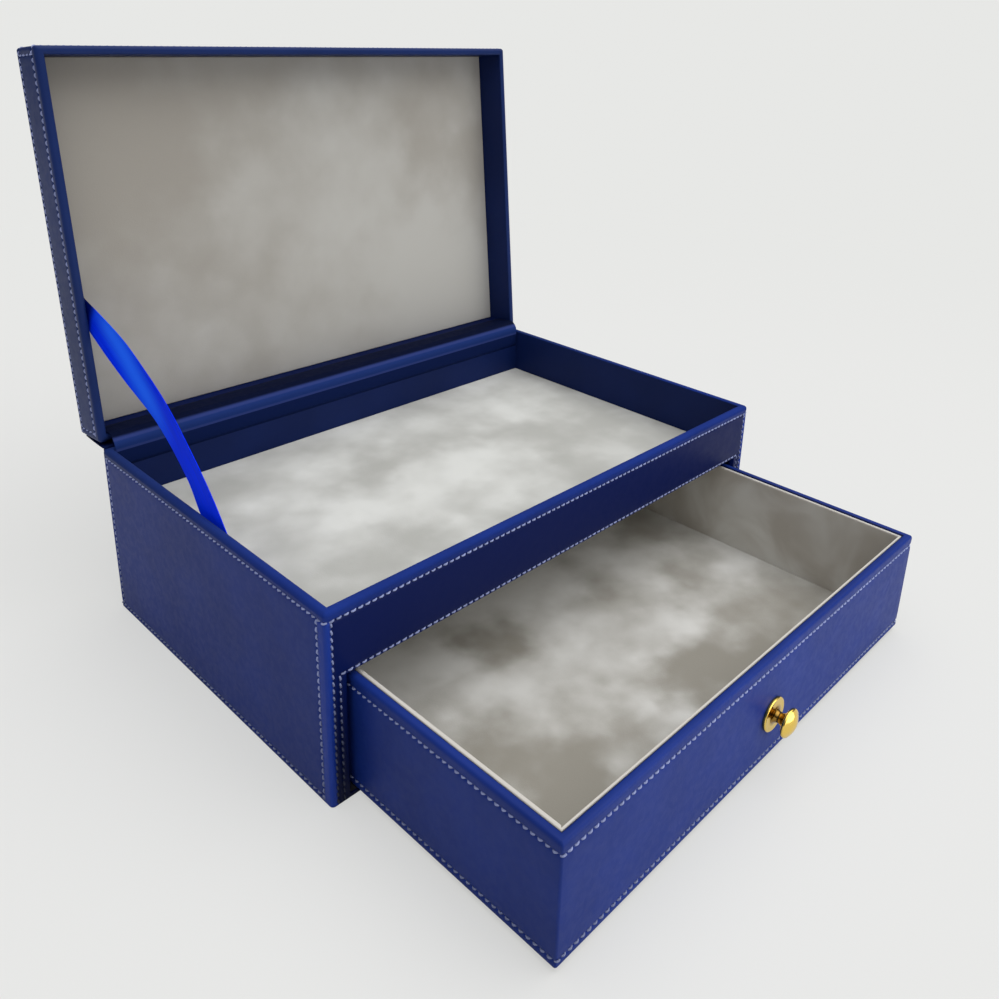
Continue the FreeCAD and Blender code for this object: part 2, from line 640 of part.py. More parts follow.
# ---------------------------------------------------------------- drawer (in its own frame)

def make_drawer_base(doc):
    """The sheet under the drawer, its bottom board and its suede floor."""
    inset = "drawer_x - base_inset"
    block(doc, "drawer_base_sheet", DRAWER, (f"-({inset})", inset),
          ("base_inset", "drawer_depth - base_inset"), ("0", "base_sheet"))
    board = block(doc, "drawer_bottom_board", DRAWER, ("-drawer_skin", "drawer_skin"),
                  ("leather", "drawer_depth - leather"), ("base_sheet", "drawer_board_low"))
    corners = edge_names(board.Tip, upright_at(("XMin", "XMax"), ("YMin", "YMax")))
    add_fillet(board, corners, "drawer_corner")
    floor_x = "drawer_room - panel_gap"
    front, back = "front_inside + drawer_liner", "drawer_depth - front_inside - drawer_liner"
    block(doc, "drawer_floor_panel", DRAWER, (f"-({floor_x})", floor_x),
          (f"{front} + panel_gap", f"{back} - panel_gap"),
          ("drawer_board_low", "drawer_board_low + drawer_panel"))


def make_drawer_walls(doc):
    """The drawer's side boards, with its front and back boards between them."""
    levels = ("drawer_board_low", "drawer_board_high")
    for side, x_range in both_sides("drawer_wall", "drawer_skin"):
        board = block(doc, f"drawer_{side}_board", DRAWER, x_range,
                      ("leather", "drawer_depth - leather"), levels)
        outside = ("XMin",) if side == "left" else ("XMax",)
        add_fillet(board, edge_names(board.Tip, upright_at(outside, ("YMin", "YMax"))),
                   "drawer_corner")
    front = block(doc, "drawer_front_board", DRAWER, ("-drawer_wall", "drawer_wall"),
                  ("leather", "front_inside"), levels)
    drill(front, "leather + drawer_board / 2", "screw_hole_diameter", "2 * drawer_board")
    block(doc, "drawer_back_board", DRAWER, ("-drawer_wall", "drawer_wall"),
          ("drawer_depth - front_inside", "drawer_depth - leather"), levels)


def make_drawer_linings(doc):
    """Suede-covered cards that stand just below the drawer's rim."""
    levels = ("drawer_board_low", "drawer_height - liner_drop")
    back = "drawer_depth - front_inside"
    for side, x_range in both_sides("drawer_room", "drawer_wall"):
        block(doc, f"drawer_{side}_lining", DRAWER, x_range, ("front_inside", back), levels)
    front = block(doc, "drawer_front_lining", DRAWER, ("-drawer_room", "drawer_room"),
                  ("front_inside", "front_inside + drawer_liner"), levels)
    drill(front, "front_inside + drawer_liner / 2", "washer_diameter + 2 * washer_clearance",
          "2 * drawer_liner")
    block(doc, "drawer_back_lining", DRAWER, ("-drawer_room", "drawer_room"),
          (f"{back} - drawer_liner", back), levels)


def make_drawer_cover(doc):
    """Leather round the drawer's four walls, rolled over their top edges."""
    body = new_body(doc, "drawer_cover", DRAWER)
    outside = new_sketch(body, "XY_Plane", "base_sheet")
    draw_rounded_rectangle(outside, "-drawer_x", "drawer_x", "0", "drawer_depth",
                           "drawer_corner_radius")
    lump = add_extrusion(body, "Pad", outside, "drawer_height - base_sheet")
    add_fillet(body, edge_names(lump, front_edge_at("ZMax")), "drawer_rim_radius")
    mouth = new_sketch(body, "XY_Plane", "drawer_height")
    draw_rectangle(mouth, "-drawer_wall", "drawer_wall", "front_inside",
                   "drawer_depth - front_inside")
    add_cut(body, mouth, "leather")
    inside = new_sketch(body, "XY_Plane", "drawer_board_high")
    draw_rounded_rectangle(inside, "-drawer_skin", "drawer_skin", "leather",
                           "drawer_depth - leather", "drawer_corner")
    add_cut(body, inside, "drawer_height")
    drill(body, "leather / 2", "screw_hole_diameter", "3 * leather")


# ---------------------------------------------------------------- knob (turned about its own Y axis)

def make_rosette(doc):
    """Round plate between the drawer's face and the knob."""
    body = new_body(doc, "knob_rosette", KNOB)
    sketch = new_sketch(body, "XY_Plane")
    hole, outside = "screw_hole_diameter / 2", "rosette_diameter / 2"
    draw_rectangle(sketch, hole, outside, "-rosette_thickness", "0")
    turned = add_revolution(body, sketch)
    whole = turned.Shape.BoundBox
    rim = edge_names(turned, lambda edge, box, _: near(box.YMin, whole.YMin)
                     and box.YLength < TOUCH and near(box.XLength, whole.XLength))
    add_fillet(body, rim, "rosette_edge")


def make_knob(doc, sheet):
    """Mushroom knob: foot, waist and domed head, with a blind bore for the screw."""
    body = new_body(doc, "knob", KNOB)
    sketch = new_sketch(body, "XY_Plane")
    bore = "(screw_diameter / 2 + thread_gap)"
    bore_end = "-(rosette_thickness + screw_reach + bore_spare)"
    head, waist = "knob_head_diameter / 2", "knob_neck_diameter / 2"
    draw_outline(sketch, [
        (head, "-(knob_head_start + knob_head_side)"), (head, "-knob_head_start"),
        (waist, "-knob_neck_end"), (waist, "-knob_neck_start"),
        ("knob_foot_diameter / 2", "-rosette_thickness"), (bore, "-rosette_thickness"),
        (bore, bore_end), ("0", bore_end), ("0", "-knob_projection")], dome=True)
    add_revolution(body, sketch)
    for height in (sheet.knob_neck_start, sheet.knob_neck_end):
        add_fillet(body, edge_names(body.Tip, rings_at(height)), "knob_waist_radius")
    for height in (sheet.knob_head_start, sheet.knob_head_start + sheet.knob_head_side):
        add_fillet(body, edge_names(body.Tip, rings_at(height)), "knob_rim_radius")


def make_screw(doc):
    """Slotted screw from inside the drawer through its front and the plate into the knob."""
    body = new_body(doc, "knob_screw", KNOB)
    sketch = new_sketch(body, "XY_Plane")
    seat, tip = "front_inside + washer_thickness", "-(rosette_thickness + screw_reach)"
    head = f"{seat} + screw_head_thickness"
    draw_outline(sketch, [("0", tip), ("screw_diameter / 2", tip), ("screw_diameter / 2", seat),
                          ("screw_head_diameter / 2", seat), ("screw_head_diameter / 2", head),
                          ("0", head)])
    add_revolution(body, sketch)
    slot = new_sketch(body, "XZ_Plane", f"-({head})")
    draw_rectangle(slot, "-screw_head_diameter", "screw_head_diameter", "-screw_slot_width / 2",
                   "screw_slot_width / 2")
    add_cut(body, slot, "2 * screw_slot_depth", both_ways=True)


def make_washer(doc):
    """Flat washer between the screw's head and the drawer's front board."""
    body = new_body(doc, "knob_washer", KNOB)
    sketch = new_sketch(body, "XY_Plane")
    draw_rectangle(sketch, "screw_hole_diameter / 2", "washer_diameter / 2", "front_inside",
                   "front_inside + washer_thickness")
    add_revolution(body, sketch)


# ---------------------------------------------------------------- the whole box

def check(doc):
    """Stop if any object failed or any sub-part is empty or not valid."""
    for item in doc.Objects:
        if "Invalid" in item.State or "Error" in item.State:
            raise RuntimeError(f"{item.Label}: state {item.State}")
    for part in sub_parts(doc):
        if part.Shape.isNull() or not part.Shape.isValid() or len(part.Shape.Solids) != 1:
            raise RuntimeError(f"{part.Label}: its shape is not one valid solid")


def sub_parts(doc):
    kinds = ("PartDesign::Body", "Part::Feature")
    return [item for item in doc.Objects if item.TypeId in kinds and item.getParentGroup() is None]


def write_steps(doc):
    os.makedirs("parts", exist_ok=True)
    for part in sub_parts(doc):
        part.Shape.exportStep(os.path.join("parts", part.Label + ".step"))
        print(f"{part.Label:24s} {part.Shape.Volume:12.1f} mm3")


def main():
    doc = FreeCAD.newDocument("DrawerGiftBox")
    sheet = make_sheet(doc)
    for make in (make_case_base, make_case_walls, make_front_posts, make_bay_sides, make_tray,
                 make_case_cover, make_inner_hinge_leather, make_outer_hinge_leather,
                 make_lid_boards, make_lid_linings, make_lid_cover,
                 make_drawer_base, make_drawer_walls, make_drawer_linings, make_drawer_cover,
                 make_rosette, make_screw, make_washer):
        make(doc)
    make_knob(doc, sheet)
    make_ribbon(doc, sheet)
    doc.recompute()
    check(doc)
    write_steps(doc)


main()
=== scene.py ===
"""Sliding drawer gift box: stitched navy leather, suede floors, satin stay ribbon and gilt knob.

Meshes are worked out in millimetres, materials and settings in metres. Every finished mesh is in
metres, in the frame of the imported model.
"""

import json
import math
from fnmatch import fnmatch

import bmesh
import bpy
from bpy.props import FloatProperty, FloatVectorProperty, IntProperty, PointerProperty
from mathutils import Matrix, Vector, noise


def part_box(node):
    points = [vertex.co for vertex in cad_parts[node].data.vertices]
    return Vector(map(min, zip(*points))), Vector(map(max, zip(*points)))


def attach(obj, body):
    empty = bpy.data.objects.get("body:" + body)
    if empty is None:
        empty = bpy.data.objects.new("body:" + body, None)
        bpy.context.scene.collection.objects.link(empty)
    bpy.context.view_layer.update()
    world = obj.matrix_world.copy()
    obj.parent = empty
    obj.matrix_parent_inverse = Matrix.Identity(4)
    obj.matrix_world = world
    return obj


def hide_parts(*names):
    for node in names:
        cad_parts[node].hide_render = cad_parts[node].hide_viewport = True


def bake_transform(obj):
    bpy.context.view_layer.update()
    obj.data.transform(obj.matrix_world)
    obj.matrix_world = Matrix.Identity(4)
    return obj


bl_info = {
    "name": "Sliding Drawer Gift Box",
    "version": (1, 0, 0),
    "blender": (4, 5, 0),
    "location": "3D View > Sidebar > Gift Box",
    "description": "Leather, suede, ribbon and gilt pieces for a two-level gift box",
    "category": "Object",
}

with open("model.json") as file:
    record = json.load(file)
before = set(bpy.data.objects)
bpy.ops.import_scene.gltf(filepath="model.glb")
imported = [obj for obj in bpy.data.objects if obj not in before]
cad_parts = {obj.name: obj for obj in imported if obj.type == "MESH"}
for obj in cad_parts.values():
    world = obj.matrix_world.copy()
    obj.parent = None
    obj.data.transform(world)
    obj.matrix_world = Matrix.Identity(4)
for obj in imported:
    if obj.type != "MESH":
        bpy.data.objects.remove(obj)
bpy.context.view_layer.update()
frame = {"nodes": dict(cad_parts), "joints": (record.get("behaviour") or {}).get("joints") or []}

MM = 0.001

# The walls of a box, anticlockwise from above.
WALLS = FRONT, RIGHT, BACK, LEFT = range(4)

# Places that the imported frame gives: the lid's hinge line and how far the lid stands open.
HINGE_JOINT = next(joint for joint in frame["joints"] if joint["name"] == "lid_hinge")
HINGE = Vector(HINGE_JOINT["pos_m"]) / MM
OPEN_ANGLE = math.radians(HINGE_JOINT["range_deg"][1])
TILT = OPEN_ANGLE - math.pi / 2

# Sizes of the leather work that the covers, the stitching and the strips share.
LEATHER = 0.8
STRIP = 0.7
CASE_LOW, CASE_HIGH, CASE_TOP = (-165, -106), (165, 106), 102.0
CASE_RIM_BAND = 4.5
DRAWER_RIM_BAND = 4.7
LINER_WIDTHS = {"front": 1.3, "right": 1.5, "back": 1.8, "left": 2.1}
OPENING_EDGE = 10.5
OPENING_STEPS = (0.0, 0.12, 0.3, 0.55, 0.8, 1.0)
BAY_FLOOR = 2.5
BAY_CEILING = 67.0
LID_RIM = 102.3
LID_TOP = 128.3
LID_ROW = 5.0
GROOVE_STEPS = (0.0, 0.16, 0.34, 0.56, 0.82, 1.15, 1.6, 2.3)
CORNER_SHARES = (0.2, 0.4, 0.6, 0.8)

# How finely the leather is divided, how uneven it is, and how near its edges it lies flat.
COLUMN_STEP, LEVEL_STEP = 7.0, 6.0
UNEVENNESS, WAVES_PER_MM, FLAT_EDGE = 0.07, 0.05, 6

# The slack ribbon from its lower to its upper end: share of the way, standing off, turned.
RIBBON_CURVE = (
    (0.0, 0.0, 0.0), (0.12, 0.25, 0.45), (0.27, 0.70, 0.22), (0.50, 1.00, 0.42),
    (0.70, 0.72, 1.00), (0.80, 0.54, 1.05), (0.90, 0.28, 0.60), (1.0, 0.0, 0.0))

# Broad patches on the suede: middle, reach, and how much paler (or, below 0, darker).
TRAY_STROKES = (
    ((-84, 1, 71), 45, 0.30), ((0, -5, 71), 60, 0.50), ((90, 60, 71), 50, 0.40),
    ((38, 78, 71), 30, -0.20), ((-125, -75, 71), 90, -0.35), ((-115, 55, 71), 45, -0.25),
    ((125, -25, 71), 50, -0.35))
# The drawer's patches are painted light: paler under the case, darker toward the drawer's front.
DRAWER_PAINTED_LIGHT = (
    ((-35, -125, 10), 60, 0.40), ((75, -100, 10), 40, 0.15), ((-95, -50, 10), 60, 0.70),
    ((0, -42, 10), 65, 0.80), ((127, -71, 10), 55, -0.15), ((-97, -175, 10), 70, -0.60),
    ((35, -195, 10), 70, -0.55), ((90, -150, 10), 50, -0.20), ((-50, -80, 10), 28, -0.25),
    ((10, -182, 10), 40, -0.25))
# The lid's patches are painted light: darker at the top left, paler toward the bottom right.
LID_PAINTED_LIGHT = (
    ((-160, 147, 270), 150, -0.55), ((20, 142, 215), 110, 0.35), ((120, 133, 115), 110, 0.75),
    ((0, 132, 80), 90, 0.40), ((110, 148, 255), 70, -0.25))


# ---------------------------------------------------------------- what a user may change

def colour_of(name, description, default, high=1):
    """A colour that a user may change."""
    return FloatVectorProperty(name=name, description=description, subtype="COLOR", size=3, min=0,
                               max=high, default=default)


def length_of(name, description, default, low, high):
    """A length that a user may change."""
    return FloatProperty(name=name, description=description, subtype="DISTANCE", unit="LENGTH",
                         min=low, max=high, default=default)


def share_of(name, description, default):
    """A share from 0 to 1 that a user may change."""
    return FloatProperty(name=name, description=description, subtype="FACTOR", min=0, max=1, default=default)


def angle_of(name, description, degrees, low, high):
    """An angle that a user may change."""
    return FloatProperty(name=name, description=description, subtype="ANGLE", unit="ROTATION",
                         min=low, max=high, default=math.radians(degrees))


def power_of(name, description, default):
    """A lamp's power that a user may change."""
    return FloatProperty(name=name, description=description, subtype="POWER", unit="POWER",
                         min=0, max=200, default=default)


class LeatherLook(bpy.types.PropertyGroup):
    """Colours and grain of the leather."""

    cover_colour: colour_of(
        "Cover Colour", "Leather outside the box, the lid and the drawer", (0.007, 0.025, 0.180))
    lining_colour: colour_of(
        "Lining Colour", "Leather strips inside the tray and the lid", (0.005, 0.015, 0.085))
    # Painted shade: the case's front between its corner rows takes this darker colour for the shade that
    # falls on it.
    front_colour: colour_of("Front Colour", "Darker leather on the case's front", (0.0005, 0.0065, 0.072))
    lid_colour: colour_of("Lid Colour", "Duller leather over the lid", (0.009, 0.024, 0.115))
    roughness: share_of("Roughness", "How dull the leather's finish is", 0.45)
    grain: length_of("Grain Size", "Width of one pebble of the grain", 0.0008, 0.0002, 0.003)


class StitchSizes(bpy.types.PropertyGroup):
    """Sizes and colour of the stitching."""

    pitch: length_of("Pitch", "From one stitch to the next", 0.0037, 0.002, 0.01)
    length: length_of("Length", "Length of one stitch that shows", 0.0020, 0.001, 0.008)
    thread: length_of("Thread", "Thickness of the thread", 0.00095, 0.0003, 0.002)
    groove_depth: length_of("Groove Depth", "How deep the thread draws the leather in", 0.0004, 0, 0.001)
    groove_width: length_of(
        "Groove Width", "How far from the thread the leather is drawn in", 0.0007, 0.0002, 0.002)
    slant: angle_of("Slant", "Turn of each stitch against its row", 11, -0.6, 0.6)
    seed: IntProperty(name="Seed", description="Picks the small differences between stitches",
                      min=0, default=4)
    colour: colour_of("Thread Colour", "Pale blue thread", (0.29, 0.335, 0.58))


class SuedeLook(bpy.types.PropertyGroup):
    """Colours of the suede, where its nap is brushed up and down."""

    tray_light: colour_of("Tray Light Nap", "The tray's suede brushed up", (0.63, 0.635, 0.61))
    tray_dark: colour_of("Tray Dark Nap", "The tray's suede brushed down", (0.40, 0.40, 0.375))
    drawer_light: colour_of("Drawer Light Nap", "The drawer's suede brushed up", (0.62, 0.615, 0.59))
    drawer_dark: colour_of("Drawer Dark Nap", "The drawer's suede brushed down", (0.27, 0.255, 0.22))
    lid_light: colour_of("Lid Light Nap", "The lid's suede brushed up", (0.53, 0.52, 0.485))
    lid_dark: colour_of("Lid Dark Nap", "The lid's suede brushed down", (0.375, 0.35, 0.31))
    edge_colour: colour_of("Liner Edge", "Pale top edges of the drawer's liners", (0.57, 0.545, 0.50))


class RibbonShape(bpy.types.PropertyGroup):
    """Size, slack and colour of the stay ribbon."""

    width: length_of("Width", "Width of the ribbon", 0.015, 0.005, 0.02)
    thickness: length_of("Thickness", "Thickness of the ribbon", 0.0004, 0.0002, 0.001)
    bow: length_of("Bow", "How far the slack ribbon stands off the linings", 0.0071, 0, 0.01)
    twist: angle_of("Twist", "Turn of the ribbon where it is turned most", 20.5, 0, 0.5)
    colour: colour_of("Colour", "Royal blue satin", (0.001, 0.024, 0.80))
    # Painted highlight: the colour of the gleam painted along the ribbon's upper half.
    painted_highlight_colour: colour_of("Gleam", "Satin where it gleams across the upper half", (0.016, 0.135, 1.0))


class KnobLook(bpy.types.PropertyGroup):
    """Finish of the knob and its plate."""

    colour: colour_of("Gilt", "Polished gilt metal", (0.86, 0.60, 0.13))
    roughness: share_of("Roughness", "How dull the gilt is", 0.16)
    segments: IntProperty(name="Segments", description="Sides of the turned shapes",
                          min=24, max=192, default=96)


class StageLook(bpy.types.PropertyGroup):
    """Floor, backdrop and lamps."""

    floor_colour: colour_of("Floor", "Pale floor under the box", (0.72, 0.72, 0.71))
    backdrop_colour: colour_of("Backdrop", "Pale surroundings behind the box", (0.80, 0.805, 0.79))
    sky_colour: colour_of("Overhead Light", "Light from straight above", (2.1, 2.1, 2.1), 4)
    side_colour: colour_of("Side Light", "Light from the sides", (0.15, 0.15, 0.16), 4)
    key_power: power_of("Key Lamp", "Power of the large soft lamp", 4)
    low_power: power_of("Low Lamp", "Power of the low lamp in front of the drawer", 0.55)


class GiftBoxSettings(bpy.types.PropertyGroup):
    """Everything about the gift box that a user may change."""

    leather: PointerProperty(type=LeatherLook, name="Leather", description="The leather")
    stitching: PointerProperty(type=StitchSizes, name="Stitching", description="The stitching")
    suede: PointerProperty(type=SuedeLook, name="Suede", description="The suede")
    ribbon: PointerProperty(type=RibbonShape, name="Ribbon", description="The stay ribbon")
    knob: PointerProperty(type=KnobLook, name="Knob", description="The knob")
    stage: PointerProperty(type=StageLook, name="Stage", description="Floor and lamps")


# ---------------------------------------------------------------- materials

class Value:
    """A socket of a node tree; sums written on it add the Math nodes that they need."""

    def __init__(self, nodes, socket):
        self.nodes = nodes
        self.socket = socket

    def __add__(self, other):
        return self.nodes.maths("ADD", self, other)

    def __sub__(self, other):
        return self.nodes.maths("SUBTRACT", self, other)

    def __rsub__(self, other):
        return self.nodes.maths("SUBTRACT", other, self)

    def __mul__(self, other):
        return self.nodes.maths("MULTIPLY", self, other)

    __radd__ = __add__
    __rmul__ = __mul__


def find_socket(sockets, key):
    """A socket by its number, or by its identifier, or else by its name."""
    if isinstance(key, int):
        return sockets[key]
    for socket in sockets:
        if socket.identifier == key:
            return socket
    return sockets[key]


class Nodes:
    """A node tree that is being built."""

    def __init__(self, tree):
        self.tree = tree
        self.tree.nodes.clear()

    def node(self, kind, settings=None, inputs=None, output=0):
        """Adds a node: its settings first, then what goes into its sockets; gives one output."""
        made = self.tree.nodes.new(kind)
        for name, value in (settings or {}).items():
            setattr(made, name, value)
        for key, value in (inputs or {}).items():
            socket = find_socket(made.inputs, key)
            if isinstance(value, Value):
                self.tree.links.new(value.socket, socket)
            else:
                socket.default_value = value
        return Value(self, find_socket(made.outputs, output)) if made.outputs else None

    def maths(self, operation, *values):
        """A Math node on values and numbers."""
        return self.node("ShaderNodeMath", {"operation": operation}, dict(enumerate(values)))

    def vector(self, operation, *values, output="Vector"):
        """A Vector Math node on places."""
        return self.node("ShaderNodeVectorMath", {"operation": operation}, dict(enumerate(values)), output)

    def part(self, vector, axis):
        """The X, Y or Z part of a place."""
        return self.node("ShaderNodeSeparateXYZ", inputs={0: vector}, output=axis)

    def step(self, value, low, high, start=0.0, end=1.0):
        """Smooth change from start to end while value goes from low to high."""
        return self.node("ShaderNodeMapRange", {"interpolation_type": "SMOOTHSTEP"},
                         {"Value": value, "From Min": low, "From Max": high,
                          "To Min": start, "To Max": end})

    def fade(self, value, low, high):
        """Smooth change from 1 to 0 while value goes from low to high."""
        return self.step(value, low, high, 1.0, 0.0)

    def mix(self, factor, first, second):
        """Mix of two colours."""
        return self.node("ShaderNodeMix", {"data_type": "RGBA"},
                         {"Factor_Float": factor, "A_Color": opaque(first),
                          "B_Color": opaque(second)}, "Result_Color")


class Shader(Nodes):
    """The nodes of one material."""

    def __init__(self, name):
        self.material = bpy.data.materials.new(name)
        self.material.use_nodes = True
        super().__init__(self.material.node_tree)

    def place(self, scale=None):
        """Place on the piece in metres, stretched by scale."""
        here = self.node("ShaderNodeTexCoord", output="Object")
        return self.vector("MULTIPLY", here, scale) if scale else here

    def along(self, axis):
        """The X, Y or Z part of the place on the piece."""
        return self.part(self.place(), axis)

    def sideways(self):
        """How far to either side of the box's middle the place on the piece is."""
        return self.maths("ABSOLUTE", self.along("X"))

    def clouds(self, size, detail=3.0, roughness=0.5, distortion=0.0, at=None, output="Fac"):
        """Noise from 0 to 1 with patches of a size in metres."""
        return self.node("ShaderNodeTexNoise", inputs={
            "Vector": at or self.place(), "Scale": 1 / size, "Detail": detail,
            "Roughness": roughness, "Distortion": distortion}, output=output)

    def cells(self, size, smoothness, at=None):
        """How far the middle of the nearest cell is; the cells have a size in metres."""
        return self.node("ShaderNodeTexVoronoi", {"feature": "SMOOTH_F1"}, {
            "Vector": at or self.place(), "Scale": 1 / size, "Smoothness": smoothness})

    def mottle(self, pattern, colour, darker=0.9, paler=1.1):
        """A colour that a pattern makes darker and paler."""
        return self.mix(self.step(pattern, 0.3, 0.7), shade(colour, darker), shade(colour, paler))

    def bump(self, height, depth, strength=1.0):
        """Normal of a surface whose height, from 0 to 1, is depth metres."""
        return self.node("ShaderNodeBump", inputs={"Height": height, "Distance": depth,
                                                   "Strength": strength})

    def surface(self, **inputs):
        """A Principled surface as the material's output; the words are its sockets' names."""
        named = {}
        for word, value in inputs.items():
            name = word.replace("_", " ").title().replace("Ior", "IOR")
            named[name] = opaque(value) if word.endswith(("color", "tint")) else value
        self.finish(self.node("ShaderNodeBsdfPrincipled", inputs=named, output="BSDF"))

    def finish(self, shader):
        """Joins the finished shader to the material's output."""
        self.node("ShaderNodeOutputMaterial", inputs={"Surface": shader})


def once(build):
    """Makes a function build each material only the first time that its name is given."""
    def material(name, *values, **words):
        if name not in bpy.data.materials:
            build(Shader(name), *values, **words)
        return bpy.data.materials[name]

    return material


def opaque(colour):
    """A colour of three numbers with full alpha; a linked value stays as it is."""
    return colour if isinstance(colour, Value) else (*tuple(colour)[:3], 1.0)


def shade(colour, amount):
    """A colour made lighter or darker by an amount."""
    return tuple(min(1.0, channel * amount) for channel in tuple(colour)[:3])


@once
def leather_material(skin, colour, look, dullness=0.0, other=None, shine=0.12):
    """Finely grained, softly finished leather.

    other changes its colour from place to place; dullness adds to its roughness, as a number
    or as a function of the material.
    """
    hue = skin.mottle(skin.clouds(0.05, detail=4), colour)
    if other:
        hue = other(skin, hue)
    wrinkles = skin.clouds(look.grain * 5, distortion=0.5)
    ripples = skin.clouds(0.03, detail=1)
    height = (1 - skin.cells(look.grain, 0.6)) * 0.5 + wrinkles * 0.35 + ripples * 1.6
    dull = dullness(skin) if callable(dullness) else dullness
    skin.surface(base_color=hue,
                 roughness=skin.step(wrinkles, 0.25, 0.75, look.roughness - 0.05,
                                     look.roughness + 0.05) + dull,
                 specular_ior_level=shine, normal=skin.bump(height, 0.00008, 0.55))


def lid_leather(look):
    """The leather outside the lid, with painted shade where it folds at the hinge."""
    hinge, corners = (0.1045, 0.1080), (0.1605, 0.1640)

    def painted_hinge_shade(skin, hue):
        # Painted shade near the hinge, away from the side corners.
        share = skin.fade(skin.along("Z"), *hinge) * skin.fade(skin.sideways(), *corners)
        return skin.mix(share, hue, shade(look.lid_colour, 0.2))

    return leather_material("Lid leather", look.lid_colour, look, other=painted_hinge_shade)


def drawer_leather(look, low, high):
    """The leather round the drawer, with painted shade on its rim where it dips to the liners."""
    rim, inner_edge = ((high.z - 1.4) * MM, (high.z - 0.9) * MM), (0.0033, 0.0041)

    def painted_rim_shade(skin, hue):
        inset = skin.maths("MINIMUM", high.x * MM - skin.sideways(), skin.along("Y") - low.y * MM)
        top = skin.step(skin.along("Z"), *rim)
        # Painted shade on the top of the rim beside the liners.
        return skin.mix(skin.step(inset, *inner_edge) * top, hue, shade(look.cover_colour, 0.30))

    return leather_material("Drawer leather", look.cover_colour, look, other=painted_rim_shade)


def case_leather(look):
    """The leather outside the case: painted shade on its front, deeper toward the foot, painted shade on the
    rim toward the back, and a painted highlight on the corners.
    """
    under_rim, on_rim, foot = (0.0968, 0.0980), (0.0990, 0.1005), (0.0, 0.07)
    front_wall, corner_highlight_start, corners = (-0.1054, -0.1046), (-0.1000, -0.0992), (0.1610, 0.1620)

    def painted_shade_and_highlight(skin, hue):
        below = skin.fade(skin.along("Z"), *under_rim)
        sideways = skin.sideways()
        # Painted shade: the front between the corner rows, below the rim.
        front = skin.fade(skin.along("Y"), *front_wall) * below * skin.fade(sideways, *corners)
        # Painted highlight: the corners just beside the front are paler.
        corner = skin.fade(skin.along("Y"), *corner_highlight_start) * below * skin.step(sideways, *corners)
        # Painted shade: the rim darkens toward the back, to the lid's colour.
        rim = (1 - below) * skin.step(skin.along("Y"), -0.11, 0.11, 0.0, 0.85)
        hue = skin.mix(corner, skin.mix(rim, hue, look.lid_colour), shade(look.cover_colour, 1.5))
        # Painted shade: the front colour darkens further toward the foot.
        dark = shade(look.front_colour, 0.4)
        front_painted_shade_hue = skin.mix(skin.step(skin.along("Z"), *foot), dark, look.front_colour)
        return skin.mix(front, hue, front_painted_shade_hue)

    def worn(skin):
        return skin.step(skin.along("Z"), *on_rim) * 0.4

    return leather_material("Case leather", look.cover_colour, look, worn, painted_shade_and_highlight)


def inner_strip_leather(look):
    """The supple leather of the inner hinge strip: a painted highlight on the bend with paler painted
    highlight lines beside the crease, and painted shade on its legs, darkest on the lid's leg.
    """
    crease, crease_highlight_lines = 0.0136, (0.0018, 0.0028)
    bend_start, bend_end = (0.0097, 0.0101), (0.0168, 0.0190)

    def painted_bend_light(skin, hue):
        strip = skin.node("ShaderNodeUVMap", {"uv_map": "Strip"})
        place = skin.part(strip, "Y")
        off = skin.maths("ABSOLUTE", place - crease)
        # Painted highlight: paler lines on each side of the crease.
        hue = skin.mix(skin.step(off, *crease_highlight_lines), shade(look.lid_colour, 1.5), (0.030, 0.050, 0.200))
        # Painted shade: the leg on the case's wall below the bend.
        hue = skin.mix(skin.step(place, *bend_start), shade(look.lining_colour, 0.85), hue)
        # Painted shade: the leg on the lid, nearly black.
        return skin.mix(skin.step(place, *bend_end), hue, shade(look.lining_colour, 0.28))

    return leather_material("Inner hinge leather", shade(look.cover_colour, 0.5), look, 0.3, painted_bend_light, 0.05)


def painted_shade_strip_leather(look):
    """The supple leather of the outer hinge strip, darkened as painted shade of the hinge's fold."""
    return leather_material("Outer hinge leather", shade(look.cover_colour, 0.3), look, 0.2, shine=0.05)


@once
def suede_material(skin, dark, light, patches_and_painted_light, contrast=1.0):
    """Brushed suede: billowy patches, and broad paler and darker patches at given places; on the drawer and
    the lid these patches are painted light.
    """
    stray = 0.05
    drift = skin.clouds(1 / 28, output="Color")
    bent = skin.vector("MULTIPLY_ADD", drift, (stray, stray, stray), skin.place())
    clouds = skin.clouds(0.055, detail=3.5, roughness=0.55)
    fibres = skin.clouds(0.0006, detail=2)
    lobes = skin.cells(1 / 30, 0.8, bent)
    nap = (clouds - 0.5) * (1.5 * contrast) + (0.42 - lobes) * (0.7 * contrast)
    nap = nap + (fibres - 0.5) * 0.10 + 0.5
    # Each patch lifts or lowers the nap; on the drawer and the lid this is painted light.
    for centre, reach, lift in patches_and_painted_light:
        middle = Vector(centre) * MM + Vector((stray, stray, stray)) / 2
        apart = skin.vector("DISTANCE", bent, middle, output="Value")
        nap = nap + skin.step(apart, 0.0, reach * MM, lift, 0.0)
    skin.surface(base_color=skin.mix(skin.step(nap, 0.0, 1.0), dark, light), roughness=0.95,
                 specular_ior_level=0.12, sheen_weight=0.12, sheen_roughness=0.5,
                 normal=skin.bump(fibres + clouds * 0.5, 0.0002, 0.35))


